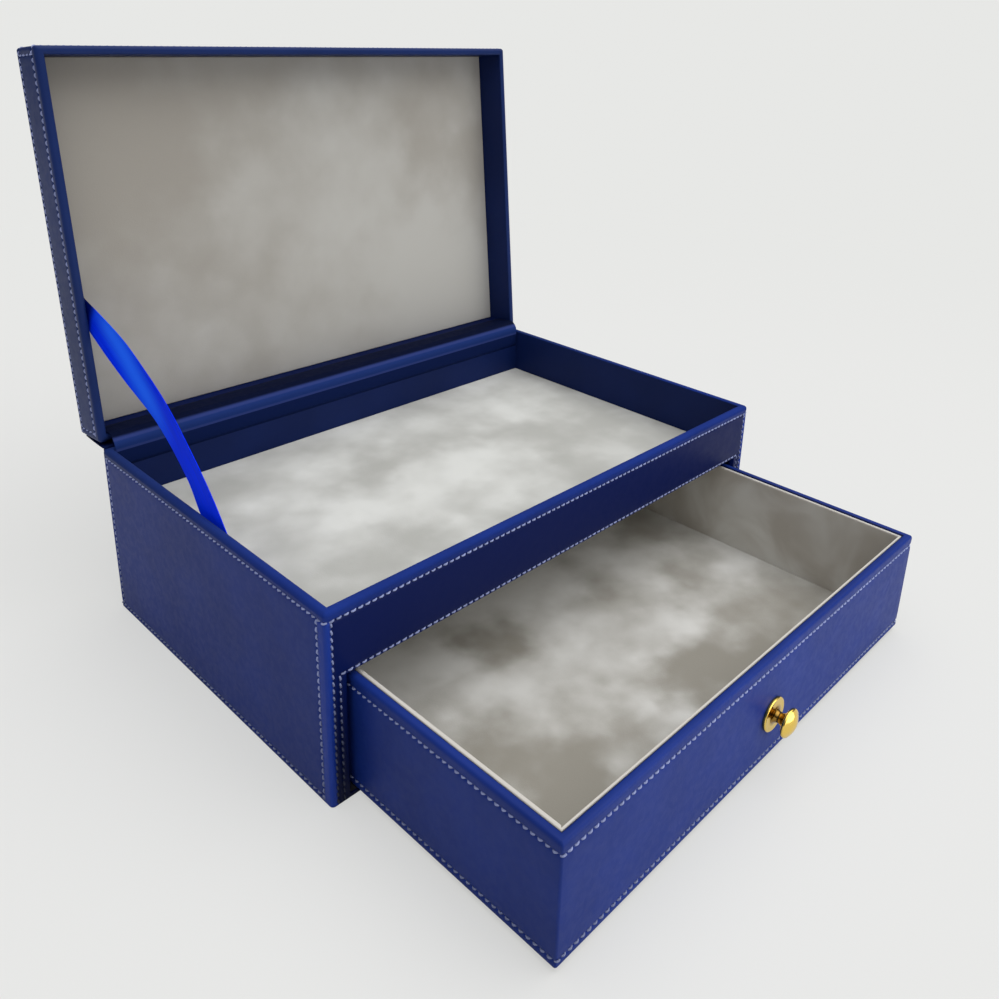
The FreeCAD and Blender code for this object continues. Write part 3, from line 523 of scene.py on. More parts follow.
@once
def liner_material(skin, look, pale_height):
    """Suede of the drawer's liners, with pale edges above a height in metres."""
    nap = skin.clouds(0.04, distortion=0.5)
    wall = skin.mix(skin.step(nap, 0.35, 0.65), shade(look.lid_dark, 1.2), shade(look.lid_light, 1.15))
    pale = skin.step(skin.along("Z") + nap * 0.0002, pale_height, pale_height + 0.0004)
    skin.surface(base_color=skin.mix(pale, wall, look.edge_colour), roughness=0.92,
                 specular_ior_level=0.15, sheen_weight=0.1, sheen_roughness=0.5,
                 normal=skin.bump(skin.clouds(0.0006, detail=2), 0.0002, 0.35))


@once
def thread_material(skin, look):
    """Twisted waxed thread, darker toward the foot of the box, with painted shade on the case's front posts
    that deepens toward their foot.
    """
    front_wall, post_shade_span = (-0.1056, -0.1048), (0.1535, 0.1545)
    hue = skin.mottle(skin.clouds(0.004, detail=1), look.colour, 0.88, 1.08)
    hue = skin.mix(skin.step(skin.along("Z"), 0.0, 0.085), shade(look.colour, 0.55), hue)
    # Painted shade: the stitches on the case's front posts darken toward the foot, nearly black there.
    front = skin.fade(skin.along("Y"), *front_wall) * skin.step(skin.sideways(), *post_shade_span)
    hue = skin.mix(front * skin.step(skin.along("Z"), 0.0, 0.097, 0.85, 0.15), hue, (0, 0, 0))
    skin.surface(base_color=hue, roughness=0.6, specular_ior_level=0.3,
                 normal=skin.bump(skin.clouds(0.0005, detail=1, distortion=1.0), 0.0001, 0.4))


@once
def satin_material(skin, look):
    """Royal blue satin, woven across the ribbon, with a painted highlight along the middle of its upper half
    and a painted shadow where it folds into the lid.
    """
    weft, warp = 0.0005, 0.0007
    highlight_rise, highlight_fall, fold_shadow_span = (0.070, 0.110), (0.150, 0.172), (0.163, 0.169)
    weave = skin.node("ShaderNodeUVMap", {"uv_map": "Weave"})
    across, length = skin.part(weave, "X"), skin.part(weave, "Y")
    wefts = skin.maths("SINE", length * (math.tau / weft))
    warps = skin.maths("SINE", across * (math.tau / warp))
    streaks = skin.clouds(1, detail=2, at=skin.vector("MULTIPLY", weave, (1500, 30, 1)))
    painted_highlight = skin.maths("ABSOLUTE", across + length * 0.153 - 0.026)
    painted_highlight = skin.fade(painted_highlight, 0.0, 0.009) * skin.step(length, *highlight_rise) * skin.fade(length, *highlight_fall)
    hue = skin.mix(painted_highlight, skin.mottle(streaks, look.colour), look.painted_highlight_colour)
    # Painted shadow: nearly black where the ribbon folds into the lid.
    hue = skin.mix(skin.step(length, *fold_shadow_span), hue, shade(look.colour, 0.05))
    skin.surface(base_color=hue, roughness=skin.step(streaks, 0.2, 0.8, 0.44, 0.56),
                 specular_ior_level=0.03, specular_tint=(0.0, 0.15, 1.0),
                 sheen_weight=0.9, sheen_roughness=0.4, sheen_tint=(0.0, 0.06, 1.0),
                 normal=skin.bump(wefts * 0.5 + warps * 0.25, 0.00004, 0.35))


@once
def metal_material(skin, colour, roughness, other=None):
    """Polished metal with faint turning marks; other changes its colour from place to place."""
    smears = skin.clouds(0.004)
    marks = skin.clouds(0.0004, detail=2, at=skin.place((0.4, 3.0, 0.4)))
    hue = skin.mix(smears, shade(colour, 0.95), shade(colour, 1.04))
    skin.surface(base_color=other(skin, hue) if other else hue, metallic=1.0,
                 roughness=skin.step(smears, 0.3, 0.75, roughness - 0.04, roughness + 0.06),
                 normal=skin.bump(marks, 0.00001, 0.3))


@once
def board_material(skin, colour):
    """Paper-faced board with short fibres."""
    fibres = skin.clouds(0.003, detail=4, at=skin.place((1.0, 0.35, 1.0)))
    specks = skin.clouds(0.0007, detail=2)
    skin.surface(base_color=skin.mottle(fibres, colour, 0.88), roughness=0.85,
                 specular_ior_level=0.2,
                 normal=skin.bump(fibres * 0.6 + specks * 0.4, 0.0001, 0.4))


# ---------------------------------------------------------------- meshes

def box(node):
    """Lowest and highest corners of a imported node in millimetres."""
    return [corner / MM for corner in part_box(node)]


def mesh_piece(name, points, faces, closed=True, sharp=None, smooth=True):
    """A mesh object from points in millimetres, with doubles merged.

    A closed one has its faces turned outwards. Edges stay sharp past an angle in degrees.
    """
    mesh = bpy.data.meshes.new(name)
    mesh.from_pydata([Vector(point) * MM for point in points], [], faces)
    work = bmesh.new()
    work.from_mesh(mesh)
    bmesh.ops.remove_doubles(work, verts=work.verts, dist=0.005 * MM)
    bmesh.ops.dissolve_degenerate(work, edges=work.edges, dist=0.002 * MM)
    if closed:
        bmesh.ops.recalc_face_normals(work, faces=work.faces)
    for face in work.faces:
        face.smooth = smooth
    if sharp:
        work.normal_update()
        for edge in work.edges:
            edge.smooth = (len(edge.link_faces) == 2 and edge.calc_face_angle(0.0) < math.radians(sharp))
    work.to_mesh(mesh)
    work.free()
    return add_object(name, mesh)


def add_object(name, data):
    """An object of a mesh, a lamp or a camera in the scene."""
    made = bpy.data.objects.new(name, data)
    bpy.context.scene.collection.objects.link(made)
    return made


def quads(corners, right, up):
    """Four-sided faces: their first points, and the steps from these to the two beside them."""
    return [(corner, corner + right, corner + right + up, corner + up) for corner in corners]


def slab_faces(stations, count):
    """Faces of a bent slab whose stations have count points on its one side, then the other."""
    block = 2 * count
    faces = []
    for start in range(0, (stations - 1) * block, block):
        for side in (start, start + count):
            faces += quads(range(side, side + count - 1), 1, block)
        faces += quads((start, start + count - 1), count, block)
    for start in (0, (stations - 1) * block):
        faces += quads(range(start, start + count - 1), 1, count)
    return faces


def bake_modifiers(piece):
    """Puts the result of a piece's modifiers into its mesh and takes them off."""
    bpy.context.view_layer.update()
    evaluated = piece.evaluated_get(bpy.context.evaluated_depsgraph_get())
    result = bpy.data.meshes.new_from_object(evaluated)
    piece.modifiers.clear()
    old = piece.data
    piece.data = result
    result.name = piece.name
    if old.users == 0:
        bpy.data.meshes.remove(old)


def paint(piece, material):
    """Gives a piece one material."""
    piece.data.materials.clear()
    piece.data.materials.append(material)


def settle(piece, material, body, slot, *nodes):
    """Finishes a piece: its material, its body, unless it is blended, and hides its nodes; slot is not used.
    """
    paint(piece, material)
    if body:
        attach(piece, body)
    if nodes:
        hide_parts(*nodes)


def dress(node, material):
    """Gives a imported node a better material."""
    carried = frame["nodes"][node]
    paint(carried, material)
    for polygon in carried.data.polygons:
        polygon.material_index = 0


def about_hinge(angle):
    """A turn about the lid's hinge line."""
    return (Matrix.Translation(HINGE * MM) @ Matrix.Rotation(angle, 4, "X")
            @ Matrix.Translation(-HINGE * MM))


def open_lid(piece):
    """Turns a piece that was made with the lid shut to where the open lid stands."""
    piece.data.transform(about_hinge(-OPEN_ANGLE))


def places_between(low, high, step, marks=(), exact=()):
    """Places from low to high: evenly apart, and closer round each mark."""
    count = max(1, math.ceil((high - low) / step))
    close = {mark + side * shift for mark in marks for shift in GROOVE_STEPS for side in (-1, 1)}
    even = [low + (high - low) * index / count for index in range(1, count)]
    chosen = sorted({low, high, *(place for place in exact if low < place < high)})
    for places, apart in ((sorted(close), 0.09), (even, step * 0.25)):
        for place in places:
            if low < place < high and all(abs(place - other) > apart for other in chosen):
                chosen.append(place)
    return sorted(chosen)


class Wrap:
    """The four walls of a box with rounded corners, followed anticlockwise from above."""

    OUTWARD = (Vector((0, -1)), Vector((1, 0)), Vector((0, 1)), Vector((-1, 0)))

    def __init__(self, low, high, radius):
        self.starts = (Vector(low), Vector((high[0], low[1])), Vector(high), Vector((low[0], high[1])))
        self.lengths = (high[0] - low[0], high[1] - low[1]) * 2
        self.radius = radius

    def at(self, wall, distance, share=0.0, offset=0.0):
        """Point at a distance along a wall, or, without one, at a share of the corner after it.

        The point is offset outwards, and comes with the way that it faces. Inside the box the
        walls meet in a mitre.
        """
        following = (wall + 1) % 4
        before, after = self.OUTWARD[wall], self.OUTWARD[following]
        if distance is not None:
            inset = max(self.radius, -offset)
            held = min(max(distance, inset), self.lengths[wall] - inset)
            return self.starts[wall] + after * held + before * offset, before
        angle = share * math.pi / 2
        facing = before * math.cos(angle) + after * math.sin(angle)
        if offset <= -self.radius:
            return self.starts[following] + (before + after) * offset, facing
        centre = self.starts[following] - (before + after) * self.radius
        return centre + facing * (self.radius + offset), facing


class Seams:
    """The stitched rows of a wrap: where they draw the leather in, and each thread's path."""

    def __init__(self, low, high, radius, stitching):
        self.wrap = Wrap(low, high, radius)
        self.depth = stitching.groove_depth / MM
        self.width = stitching.groove_width / MM
        self.trim = stitching.pitch / MM / 2
        self.runs = {wall: [] for wall in WALLS}
        self.corners = {wall: [] for wall in WALLS}
        self.paths = []

    def add_run(self, wall, start, end):
        """A straight row on one wall, from one (distance, height) to another."""
        start, end = Vector(start), Vector(end)
        self.runs[wall].append((start, end))
        ahead = (end - start).normalized() * self.trim
        path = [self.thread(wall, *place) for place in (start + ahead, end - ahead)]
        self.paths.append((path, False))

    def add_uprights(self, wall, distances, low, high):
        """Upright rows on one wall."""
        for distance in distances:
            self.add_run(wall, (distance, low), (distance, high))

    def add_band(self, height, start=None, end=None):
        """A level row round the corners, from one (wall, distance) to another, or all round."""
        radius = self.wrap.radius
        wall, distance = start or (FRONT, radius)
        path = []
        while True:
            final = end is not None and wall == end[0] and len(path) > 0
            stop = end[1] if final else self.wrap.lengths[wall] - radius
            self.runs[wall].append((Vector((distance, height)), Vector((stop, height))))
            path += [self.thread(wall, place, height) for place in (distance, stop)]
            if final:
                break
            self.corners[wall].append(height)
            path += [self.thread(wall, None, height, share) for share in CORNER_SHARES]
            wall, distance = (wall + 1) % 4, radius
            if end is None and wall == FRONT:
                break
        self.paths.append((path, end is None))

    def thread(self, wall, distance, height, share=0.0):
        """Where a thread lies, and the way that the leather faces there."""
        place, facing = self.wrap.at(wall, distance, share, -0.6 * self.depth)
        return Vector((*place, height)), Vector((*facing, 0))

    def gap(self, wall, distance, height):
        """How far a place on a wall, or on the corner after it, is from the nearest row."""
        gaps = [100.0]
        if distance is None:
            return min(gaps + [abs(height - row) for row in self.corners[wall]])
        place = Vector((distance, height))
        for start, end in self.runs[wall]:
            run = end - start
            share = min(max((place - start).dot(run) / run.length_squared, 0.0), 1.0)
            gaps.append((place - start - run * share).length)
        return min(gaps)

    def draw_in(self, gap):
        """How far the leather is drawn in at a distance from a row."""
        groove = self.depth * math.exp(-(gap / self.width) ** 2)
        return -groove - 0.35 * self.depth * math.exp(-(gap / (3.5 * self.width)) ** 2)

    def marks_along(self, wall):
        """Distances along a wall that have an upright row."""
        return [start.x for start, end in self.runs[wall] if abs(start.x - end.x) < 0.01]

    def marks_up(self):
        """Heights that have a level row."""
        heights = {round(start.y, 3) for rows in self.runs.values() for start, end in rows
                   if abs(start.y - end.y) < 0.01}
        return sorted(heights | {row for rows in self.corners.values() for row in rows})


class Opening:
    """A rectangular opening in the front wall, with the leather turned in on three sides."""

    ROUND_OVER = OPENING_STEPS[-1]
    NEAR = 0.001

    def __init__(self, low, high, floor, ceiling):
        self.low, self.high = low, high
        self.floor, self.ceiling = floor, ceiling

    def holds(self, distance, height):
        """Whether a place on the front wall lies in the opening."""
        return self.low < distance < self.high and self.floor < height < self.ceiling

    def turn_in(self, distance, height):
        """How far the leather has turned in beside the opening."""
        aside = max(self.low - distance, distance - self.high, 0.0)
        gap = math.hypot(aside, max(height - self.ceiling, 0.0))
        if gap >= self.ROUND_OVER or height < self.floor:
            return 0.0
        left = self.ROUND_OVER - gap
        return math.sqrt(self.ROUND_OVER ** 2 - left ** 2) - self.ROUND_OVER

    def travel(self, distance, height):
        """How far up, over and down the turned-in edge a place is, or None off the edge."""
        near = self.NEAR
        if not (self.low - near <= distance <= self.high + near
                and self.floor - near <= height <= self.ceiling + near):
            return None
        if abs(distance - self.low) < near:
            return height - self.ceiling
        if abs(height - self.ceiling) < near:
            return distance - self.low
        if abs(distance - self.high) < near:
            return self.high - self.low + self.ceiling - height
        return None


def quarter(start, end, bulge, steps=5):
    """Places on a quarter ellipse from start to end, whose tangents meet at bulge."""
    start, end, bulge = Vector(start), Vector(end), Vector(bulge)
    centre = start + end - bulge
    angles = [step / steps * math.pi / 2 for step in range(1, steps + 1)]
    return [tuple(centre + (start - centre) * math.cos(angle) + (end - centre) * math.sin(angle))
            for angle in angles]


def leather_sheet(name, seams, profile, opening=None, capped=False):
    """A cover: its profile swept round the walls, drawn in along the seams, and thickened.

    The profile is a list of (offset, height), and offset 0 is the plain outer wall.
    """
    wrap = seams.wrap
    columns = []
    for wall in WALLS:
        exact = []
        if opening and wall == FRONT:
            exact = [opening.low - shift for shift in OPENING_STEPS]
            exact += [opening.high + shift for shift in OPENING_STEPS]
        ends = (wrap.radius, wrap.lengths[wall] - wrap.radius)
        columns += [(wall, distance, None) for distance in
                    places_between(*ends, COLUMN_STEP, seams.marks_along(wall), exact)]
        columns += [(wall, None, share) for share in CORNER_SHARES]
    lowest = min(height for _, height in profile)
    highest = max(height for _, height in profile)
    points, edge = [], []
    for wall, distance, share in columns:
        for offset, height in profile:
            push = offset
            plain = abs(offset) < 1e-9
            opened = opening and plain and wall == FRONT and distance is not None
            if plain:
                push += seams.draw_in(seams.gap(wall, distance, height))
            if opened:
                push += opening.turn_in(distance, height)
            place, facing = wrap.at(wall, distance, share, push)
            point = Vector((*place, height))
            if plain and distance is not None:
                fade = min(1.0, (height - lowest) / FLAT_EDGE, (highest - height) / FLAT_EDGE)
                wave = noise.noise(point * WAVES_PER_MM)
                point += Vector((*facing, 0)) * (UNEVENNESS * fade * wave)
            if opened and opening.travel(distance, height) is not None:
                edge.append((opening.travel(distance, height), len(points), height))
            points.append(point)
    faces = []
    count, levels = len(columns), len(profile)
    for index, (wall, distance, _) in enumerate(columns):
        after = (index + 1) % count
        beyond = columns[after][1]
        for level in range(levels - 1):
            middle = (profile[level][1] + profile[level + 1][1]) / 2
            cut = (opening and wall == FRONT and None not in (distance, beyond)
                   and opening.holds((distance + beyond) / 2, middle))
            if not cut:
                faces += quads([index * levels + level], (after - index) * levels, 1)
    if opening:
        faces += turned_in_faces(sorted(edge), points)
    if capped:
        faces.append([index * levels + levels - 1 for index in range(count)])
    piece = mesh_piece(name, points, faces, closed=False)
    solid = piece.modifiers.new("Thickness", "SOLIDIFY")
    solid.thickness = LEATHER * MM
    solid.offset = -1.0
    solid.use_even_offset = True
    solid.use_quality_normals = True
    bake_modifiers(piece)
    return piece


def turned_in_faces(edge, points):
    """Leather that goes on from the opening's edge inwards, over the post, rail and post."""
    front = min(point.y for point in points)
    rings = [[number for _, number, _ in edge]]
    for depth in (Opening.ROUND_OVER + 0.4, 2.6, 3.8):
        rings.append(range(len(points), len(points) + len(edge)))
        points += [Vector((points[number].x, front + depth, height)) for _, number, height in edge]
    return [(outer[index], inner[index], inner[index + 1], outer[index + 1])
            for outer, inner in zip(rings, rings[1:]) for index in range(len(edge) - 1)]


def wall_profile(low, high, marks, exact=()):
    """Plain outer wall from low to high, closer round the marks."""
    return [(0.0, height) for height in places_between(low, high, LEVEL_STEP, marks, exact)]


def case_seams(stitching):
    """Wrap and stitched rows of the case."""
    seams = Seams(CASE_LOW, CASE_HIGH, 1.9, stitching)
    width, depth = seams.wrap.lengths[FRONT], seams.wrap.lengths[RIGHT]
    foot, low, high, under_strip, over_opening = 0.4, 2.7, 97.0, 76.5, 68.5
    before, behind, back, beside = 3.7, 6.4, 4.0, 7.0
    seams.add_band(high, (LEFT, before), (RIGHT, depth - before))
    seams.add_band(low, (RIGHT, behind), (LEFT, depth - behind))
    seams.add_uprights(FRONT, (3.5, width - 3.5), foot, high)
    seams.add_uprights(RIGHT, (behind,), foot, high)
    seams.add_uprights(RIGHT, (depth - before,), low, high)
    seams.add_uprights(LEFT, (before,), low, high)
    seams.add_uprights(LEFT, (depth - behind,), foot, high)
    seams.add_uprights(BACK, (back, width - back), low, under_strip)
    seams.add_run(BACK, (back, under_strip), (width - back, under_strip))
    seams.add_uprights(FRONT, (beside, width - beside), foot, over_opening)
    seams.add_run(FRONT, (beside, over_opening), (width - beside, over_opening))
    return seams


def lid_seams(stitching):
    """Wrap and stitched rows of the lid, shut."""
    seams = Seams(CASE_LOW, CASE_HIGH, 1.9, stitching)
    width, depth = seams.wrap.lengths[FRONT], seams.wrap.lengths[RIGHT]
    low, high, end = LID_RIM + 5.3, LID_TOP - 2.6, 4.2
    seams.add_band(high)
    seams.add_band(low, (LEFT, end), (RIGHT, depth - end))
    for wall, length in ((LEFT, depth), (RIGHT, depth), (FRONT, width)):
        seams.add_uprights(wall, (end, length - end), low, high)
    return seams


def drawer_seams(stitching):
    """Wrap and stitched rows of the drawer, where it stands pulled out."""
    low, high = box("drawer_cover")
    seams = Seams(low.xy, high.xy, 1.2, stitching)
    seams.add_band(high.z - 6.0)
    seams.add_band(low.z + 3.2)
    return seams


def make_stitch_tree(name):
    """Geometry nodes: stitches an even pitch apart along every edge path of a mesh."""
    tree = bpy.data.node_groups.new(name, "GeometryNodeTree")
    inputs = {"Geometry": "Geometry", "Pitch": "Float", "Length": "Float", "Thread": "Float",
              "Slant": "Float", "Seed": "Int", "Material": "Material"}
    for label, kind in inputs.items():
        tree.interface.new_socket(label, in_out="INPUT", socket_type="NodeSocket" + kind)
    tree.interface.new_socket("Geometry", in_out="OUTPUT", socket_type="NodeSocketGeometry")
    nodes = Nodes(tree)
    add = nodes.node
    source = tree.nodes.new("NodeGroupInput")
    given = {socket.name: Value(nodes, socket) for socket in source.outputs if socket.name}
    half, thread = given["Length"] * 0.5, given["Thread"]

    def spot(x, y, z):
        return add("ShaderNodeCombineXYZ", inputs={0: x, 1: y, 2: z})

    def vary(low, high, seed):
        return add("FunctionNodeRandomValue", {"data_type": "FLOAT"},
                   {"Min_001": low, "Max_001": high, "Seed": seed}, "Value_001")

    stitch = add("GeometryNodeCurveToMesh", inputs={
        "Curve": add("GeometryNodeCurveQuadraticBezier", inputs={
            "Resolution": 6, "Start": spot(half * -1, 0.0, thread * -0.45),
            "Middle": spot(0.0, 0.0, thread * 0.75), "End": spot(half, 0.0, thread * -0.45)}),
        "Profile Curve": add("GeometryNodeCurvePrimitiveCircle",
                             inputs={"Resolution": 6, "Radius": thread * 0.5}),
        "Fill Caps": True})
    rows = add("GeometryNodeMeshToCurve", inputs={"Mesh": given["Geometry"]})
    spaced = add("GeometryNodeResampleCurve", {"mode": "LENGTH"}, {"Curve": rows, "Length": given["Pitch"]})
    along = add("FunctionNodeAlignRotationToVector", {"axis": "X"},
                {"Vector": add("GeometryNodeInputTangent")})
    outward = add("GeometryNodeInputNamedAttribute", {"data_type": "FLOAT_VECTOR"}, {"Name": "outward"})
    upright = add("FunctionNodeAlignRotationToVector", {"axis": "Z", "pivot_axis": "X"},
                  {"Rotation": along, "Vector": outward})
    turn = spot(0.0, 0.0, vary(-0.06, 0.06, given["Seed"]) + given["Slant"])
    slanted = add("FunctionNodeRotateRotation", {"rotation_space": "LOCAL"}, {
        "Rotation": upright,
        "Rotate By": add("FunctionNodeEulerToRotation", inputs={0: turn})})
    sewn = add("GeometryNodeInstanceOnPoints", inputs={
        "Points": spaced, "Instance": stitch, "Rotation": slanted,
        "Scale": vary(0.93, 1.06, given["Seed"] + 1)})
    real = add("GeometryNodeRealizeInstances", inputs={"Geometry": sewn})
    smooth = add("GeometryNodeSetShadeSmooth", inputs={"Geometry": real})
    add("NodeGroupOutput", inputs={0: add("GeometryNodeSetMaterial", inputs={
        "Geometry": smooth, "Material": given["Material"]})})
    return tree


def sew(name, paths, stitching, body, opened=False):
    """One piece of all the stitches along paths of (point, outward) pairs."""
    points, edges, facings = [], [], []
    for path, closed in paths:
        first = len(points)
        points += [point * MM for point, _ in path]
        facings += [part for _, facing in path for part in facing]
        edges += [(first + index, first + index + 1) for index in range(len(path) - 1)]
        if closed:
            edges.append((len(points) - 1, first))
    mesh = bpy.data.meshes.new(name)
    mesh.from_pydata(points, edges, [])
    mesh.attributes.new("outward", "FLOAT_VECTOR", "POINT").data.foreach_set("vector", facings)
    piece = add_object(name, mesh)
    thread = thread_material("Pale blue thread", stitching)
    tree = bpy.data.node_groups.get("Stitches") or make_stitch_tree("Stitches")
    modifier = piece.modifiers.new("Stitches", "NODES")
    modifier.node_group = tree
    values = {"Pitch": stitching.pitch, "Length": stitching.length, "Thread": stitching.thread,
              "Slant": stitching.slant, "Seed": stitching.seed, "Material": thread}
    for item in tree.interface.items_tree:
        if item.in_out == "INPUT" and item.name in values:
            modifier[item.identifier] = values[item.name]
    bake_modifiers(piece)
    if len(piece.data.polygons) < 100:
        raise RuntimeError(f"{name}: the stitches were not made")
    if opened:
        open_lid(piece)
    settle(piece, thread, body, "navy_leather")


def card(low, high, face_round):
    """Points and faces of a suede-covered card whose top edges are rounded."""
    step, puff_height, puff_scale = 8.0, 0.12, 0.02

    def stations(start, end):
        soft = [face_round * part for part in (0.0, 0.12, 0.35, 0.65)]
        inner = places_between(start + face_round, end - face_round, step)
        return [start + part for part in soft] + inner + [end - part for part in reversed(soft)]

    across, along = stations(low.x, high.x), stations(low.y, high.y)
    points = []
    for y in along:
        for x in across:
            edge = min(x - low.x, high.x - x, y - low.y, high.y - y)
            left = max(0.0, face_round - edge)
            drop = face_round - math.sqrt(max(face_round ** 2 - left ** 2, 0.0))
            puff = puff_height * min(1.0, edge / step) * noise.noise(Vector((x, y, 7.0)) * puff_scale)
            points.append(Vector((x, y, high.z - drop + min(puff, 0.0))))
    row, lines = len(across), len(along)
    faces = []
    for start in range(0, (lines - 1) * row, row):
        faces += quads(range(start, start + row - 1), 1, row)
    rim = [*range(row), *range(2 * row - 1, lines * row, row),
           *range(lines * row - 2, (lines - 1) * row - 1, -1),
           *range((lines - 2) * row, 0, -row)]
    first, size = len(points), len(rim)
    points += [Vector((points[place].x, points[place].y, low.z)) for place in rim]
    for index in range(size):
        after = (index + 1) % size
        faces.append((rim[after], rim[index], first + index, first + after))
    faces.append(list(reversed(range(first, first + size))))
    return points, faces


def bent_path(start, corner, end, radius, steps):
    """A path in the YZ plane: straight, round a bend and straight again."""
    start, corner, end = Vector(start), Vector(corner), Vector(end)
    back, ahead = (start - corner).normalized(), (end - corner).normalized()
    half = back.angle(ahead) / 2
    reach = radius / math.tan(half)
    centre = corner + (back + ahead).normalized() * (radius / math.sin(half))
    first, last = corner + back * reach, corner + ahead * reach
    one, two = first - centre, last - centre
    sweep = math.copysign(one.angle(two), one.x * two.y - one.y * two.x)
    straight = 6
    path = [start.lerp(first, share / straight) for share in range(straight)]
    for step in range(steps + 1):
        cosine, sine = math.cos(sweep * step / steps), math.sin(sweep * step / steps)
        path.append(centre + Vector((one.x * cosine - one.y * sine, one.x * sine + one.y * cosine)))
    return path + [last.lerp(end, share / straight) for share in range(1, straight + 1)]


def strip_piece(name, path, x_low, x_high, lift):
    """A leather strip that follows a path in the YZ plane, with soft edges."""
    count = len(path)
    sides = []
    for index in range(count):
        ahead = (path[min(index + 1, count - 1)] - path[max(index - 1, 0)]).normalized()
        sides.append(Vector((-ahead.y, ahead.x)))
    ends = [(0.0, 0.35), (0.12, 0.75), (0.35, 1.0)]
    stations = ([(x_low + shift, share) for shift, share in ends]
                + [(x, 1.0) for x in places_between(x_low + 3, x_high - 3, 10.0)]
                + [(x_high - shift, share) for shift, share in reversed(ends)])
    points = []
    for x, share in stations:
        for half in (STRIP / 2, -STRIP / 2):
            for index, place in enumerate(path):
                end_share = {0: 0.08, 1: 0.6}.get(min(index, count - 1 - index), 1.0)
                spot = place + sides[index] * (half * share * end_share + lift(x, index / (count - 1)))
                points.append(Vector((x, *spot)))
    piece = mesh_piece(name, points, slab_faces(len(stations), count))
    travelled = [0.0]
    for before, after in zip(path, path[1:]):
        travelled.append(travelled[-1] + (after - before).length)
    lay_out(piece, "Strip", [(point.x * MM, travelled[index % count] * MM)
                             for index, point in enumerate(points)])
    return piece


def lay_out(piece, name, places):
    """Gives a piece a UV map from one place per point."""
    if len(places) != len(piece.data.vertices):
        raise RuntimeError(f"{piece.name} has {len(piece.data.vertices)} points")
    layer = piece.data.uv_layers.new(name=name)
    for loop in piece.data.loops:
        layer.data[loop.index].uv = places[loop.vertex_index]


def lathe(name, profile, centre, segments):
    """A turned piece about the Y axis through centre; the profile is (radius, y) pairs."""
    angles = [math.tau * step / segments for step in range(segments)]
    points = [Vector((centre.x + radius * math.cos(angle), y, centre.z + radius * math.sin(angle)))
              for radius, y in profile for angle in angles]
    faces = []
    for ring in range(0, (len(profile) - 1) * segments, segments):
        faces += quads(range(ring, ring + segments - 1), 1, segments)
        faces += quads([ring + segments - 1], 1 - segments, segments)
    return mesh_piece(name, points, faces, sharp=50)


def ripple(x, share):
    """Slight waves of the bent strip, none at its glued ends."""
    return 0.12 * math.sin(share * math.pi) * noise.noise(Vector((x * 0.03, share * 2, 3.0)))


def sag(x, share):
    """How far the outer strip hangs below the lid."""
    return -2.3 * math.sin((share - 0.3) / 0.7 * math.pi) if share >= 0.3 else 0.0


def on_curve(rows, share):
    """Values on a smooth curve through rows that each start with a share of the way along."""
    last = len(rows) - 1
    after = next(index for index in range(1, last + 1) if share <= rows[index][0])
    low, high = rows[after - 1], rows[after]
    gap = high[0] - low[0]
    part = (share - low[0]) / gap

    def slope(index, column):
        before, beyond = rows[max(index - 1, 0)], rows[min(index + 1, last)]
        return (beyond[column] - before[column]) / (beyond[0] - before[0])

    return [(2 * part ** 3 - 3 * part ** 2 + 1) * low[column]
            + (part ** 3 - 2 * part ** 2 + part) * gap * slope(after - 1, column)
            + (3 * part ** 2 - 2 * part ** 3) * high[column]
            + (part ** 3 - part ** 2) * gap * slope(after, column)
            for column in range(1, len(low))]


# ---------------------------------------------------------------- the pieces and the stage

class GIFTBOX_OT_boards(bpy.types.Operator):
    """Give the boards, sheets, linings and fastenings of the frame their materials"""

    bl_idname = "gift_box.boards"
    bl_label = "Boards and Linings"

    def execute(self, context):
        look = context.scene.gift_box.leather
        grey = board_material("Grey board", (0.33, 0.31, 0.28))
        # Painted shade: the drawer bay's boards are dark paper for the shade inside the bay.
        bay = board_material("Navy bay paper", (0.010, 0.018, 0.055))
        deck = board_material("Pale deck paper", (0.60, 0.585, 0.55))
        base = board_material("Black base paper", (0.018, 0.019, 0.024))
        lining = leather_material("Dark lining leather", look.lining_colour, look, 0.06)
        steel = metal_material("Plated steel", (0.62, 0.61, 0.60), 0.3)
        # Painted shade: the lid's back lining gets the dark strip leather for the shade in the fold at the
        # hinge.
        first_match_counts = (
            ("tray_floor_board", deck), ("case_bottom_board", base), ("knob_screw", steel),
            ("knob_washer", steel), ("lid_back_lining", painted_shade_strip_leather(look)),
            ("bay_*", bay), ("*_base_sheet", base), ("*_board", grey), ("*_rail", grey),
            ("*_post", grey), ("*_lining", lining))
        for node in frame["nodes"]:
            for pattern, material in first_match_counts:
                if fnmatch(node, pattern):
                    dress(node, material)
                    break
        return {"FINISHED"}


class GIFTBOX_OT_case_leather(bpy.types.Operator):
    """Make the stitched leather round the case, turned into the drawer opening"""

    bl_idname = "gift_box.case_leather"
    bl_label = "Case Leather"

    def execute(self, context):
        looks = context.scene.gift_box
        seams = case_seams(looks.stitching)
        width = seams.wrap.lengths[FRONT]
        opening = Opening(OPENING_EDGE, width - OPENING_EDGE, BAY_FLOOR, BAY_CEILING)
        edges = [BAY_FLOOR] + [BAY_CEILING + shift for shift in OPENING_STEPS]
        profile = [(-0.35, 0.15), (-0.1, 0.4)]
        profile += wall_profile(0.8, 99.6, seams.marks_up(), edges)
        profile += quarter(profile[-1], (-2.2, CASE_TOP), (0.0, CASE_TOP), 6)
        profile += [(-2.8, CASE_TOP)]
        profile += quarter(profile[-1], (-CASE_RIM_BAND, 101.2), (-CASE_RIM_BAND, CASE_TOP), 4)
        piece = leather_sheet("case_leather", seams, profile, opening)
        settle(piece, case_leather(looks.leather), "case", "navy_leather", "case_cover")
        return {"FINISHED"}


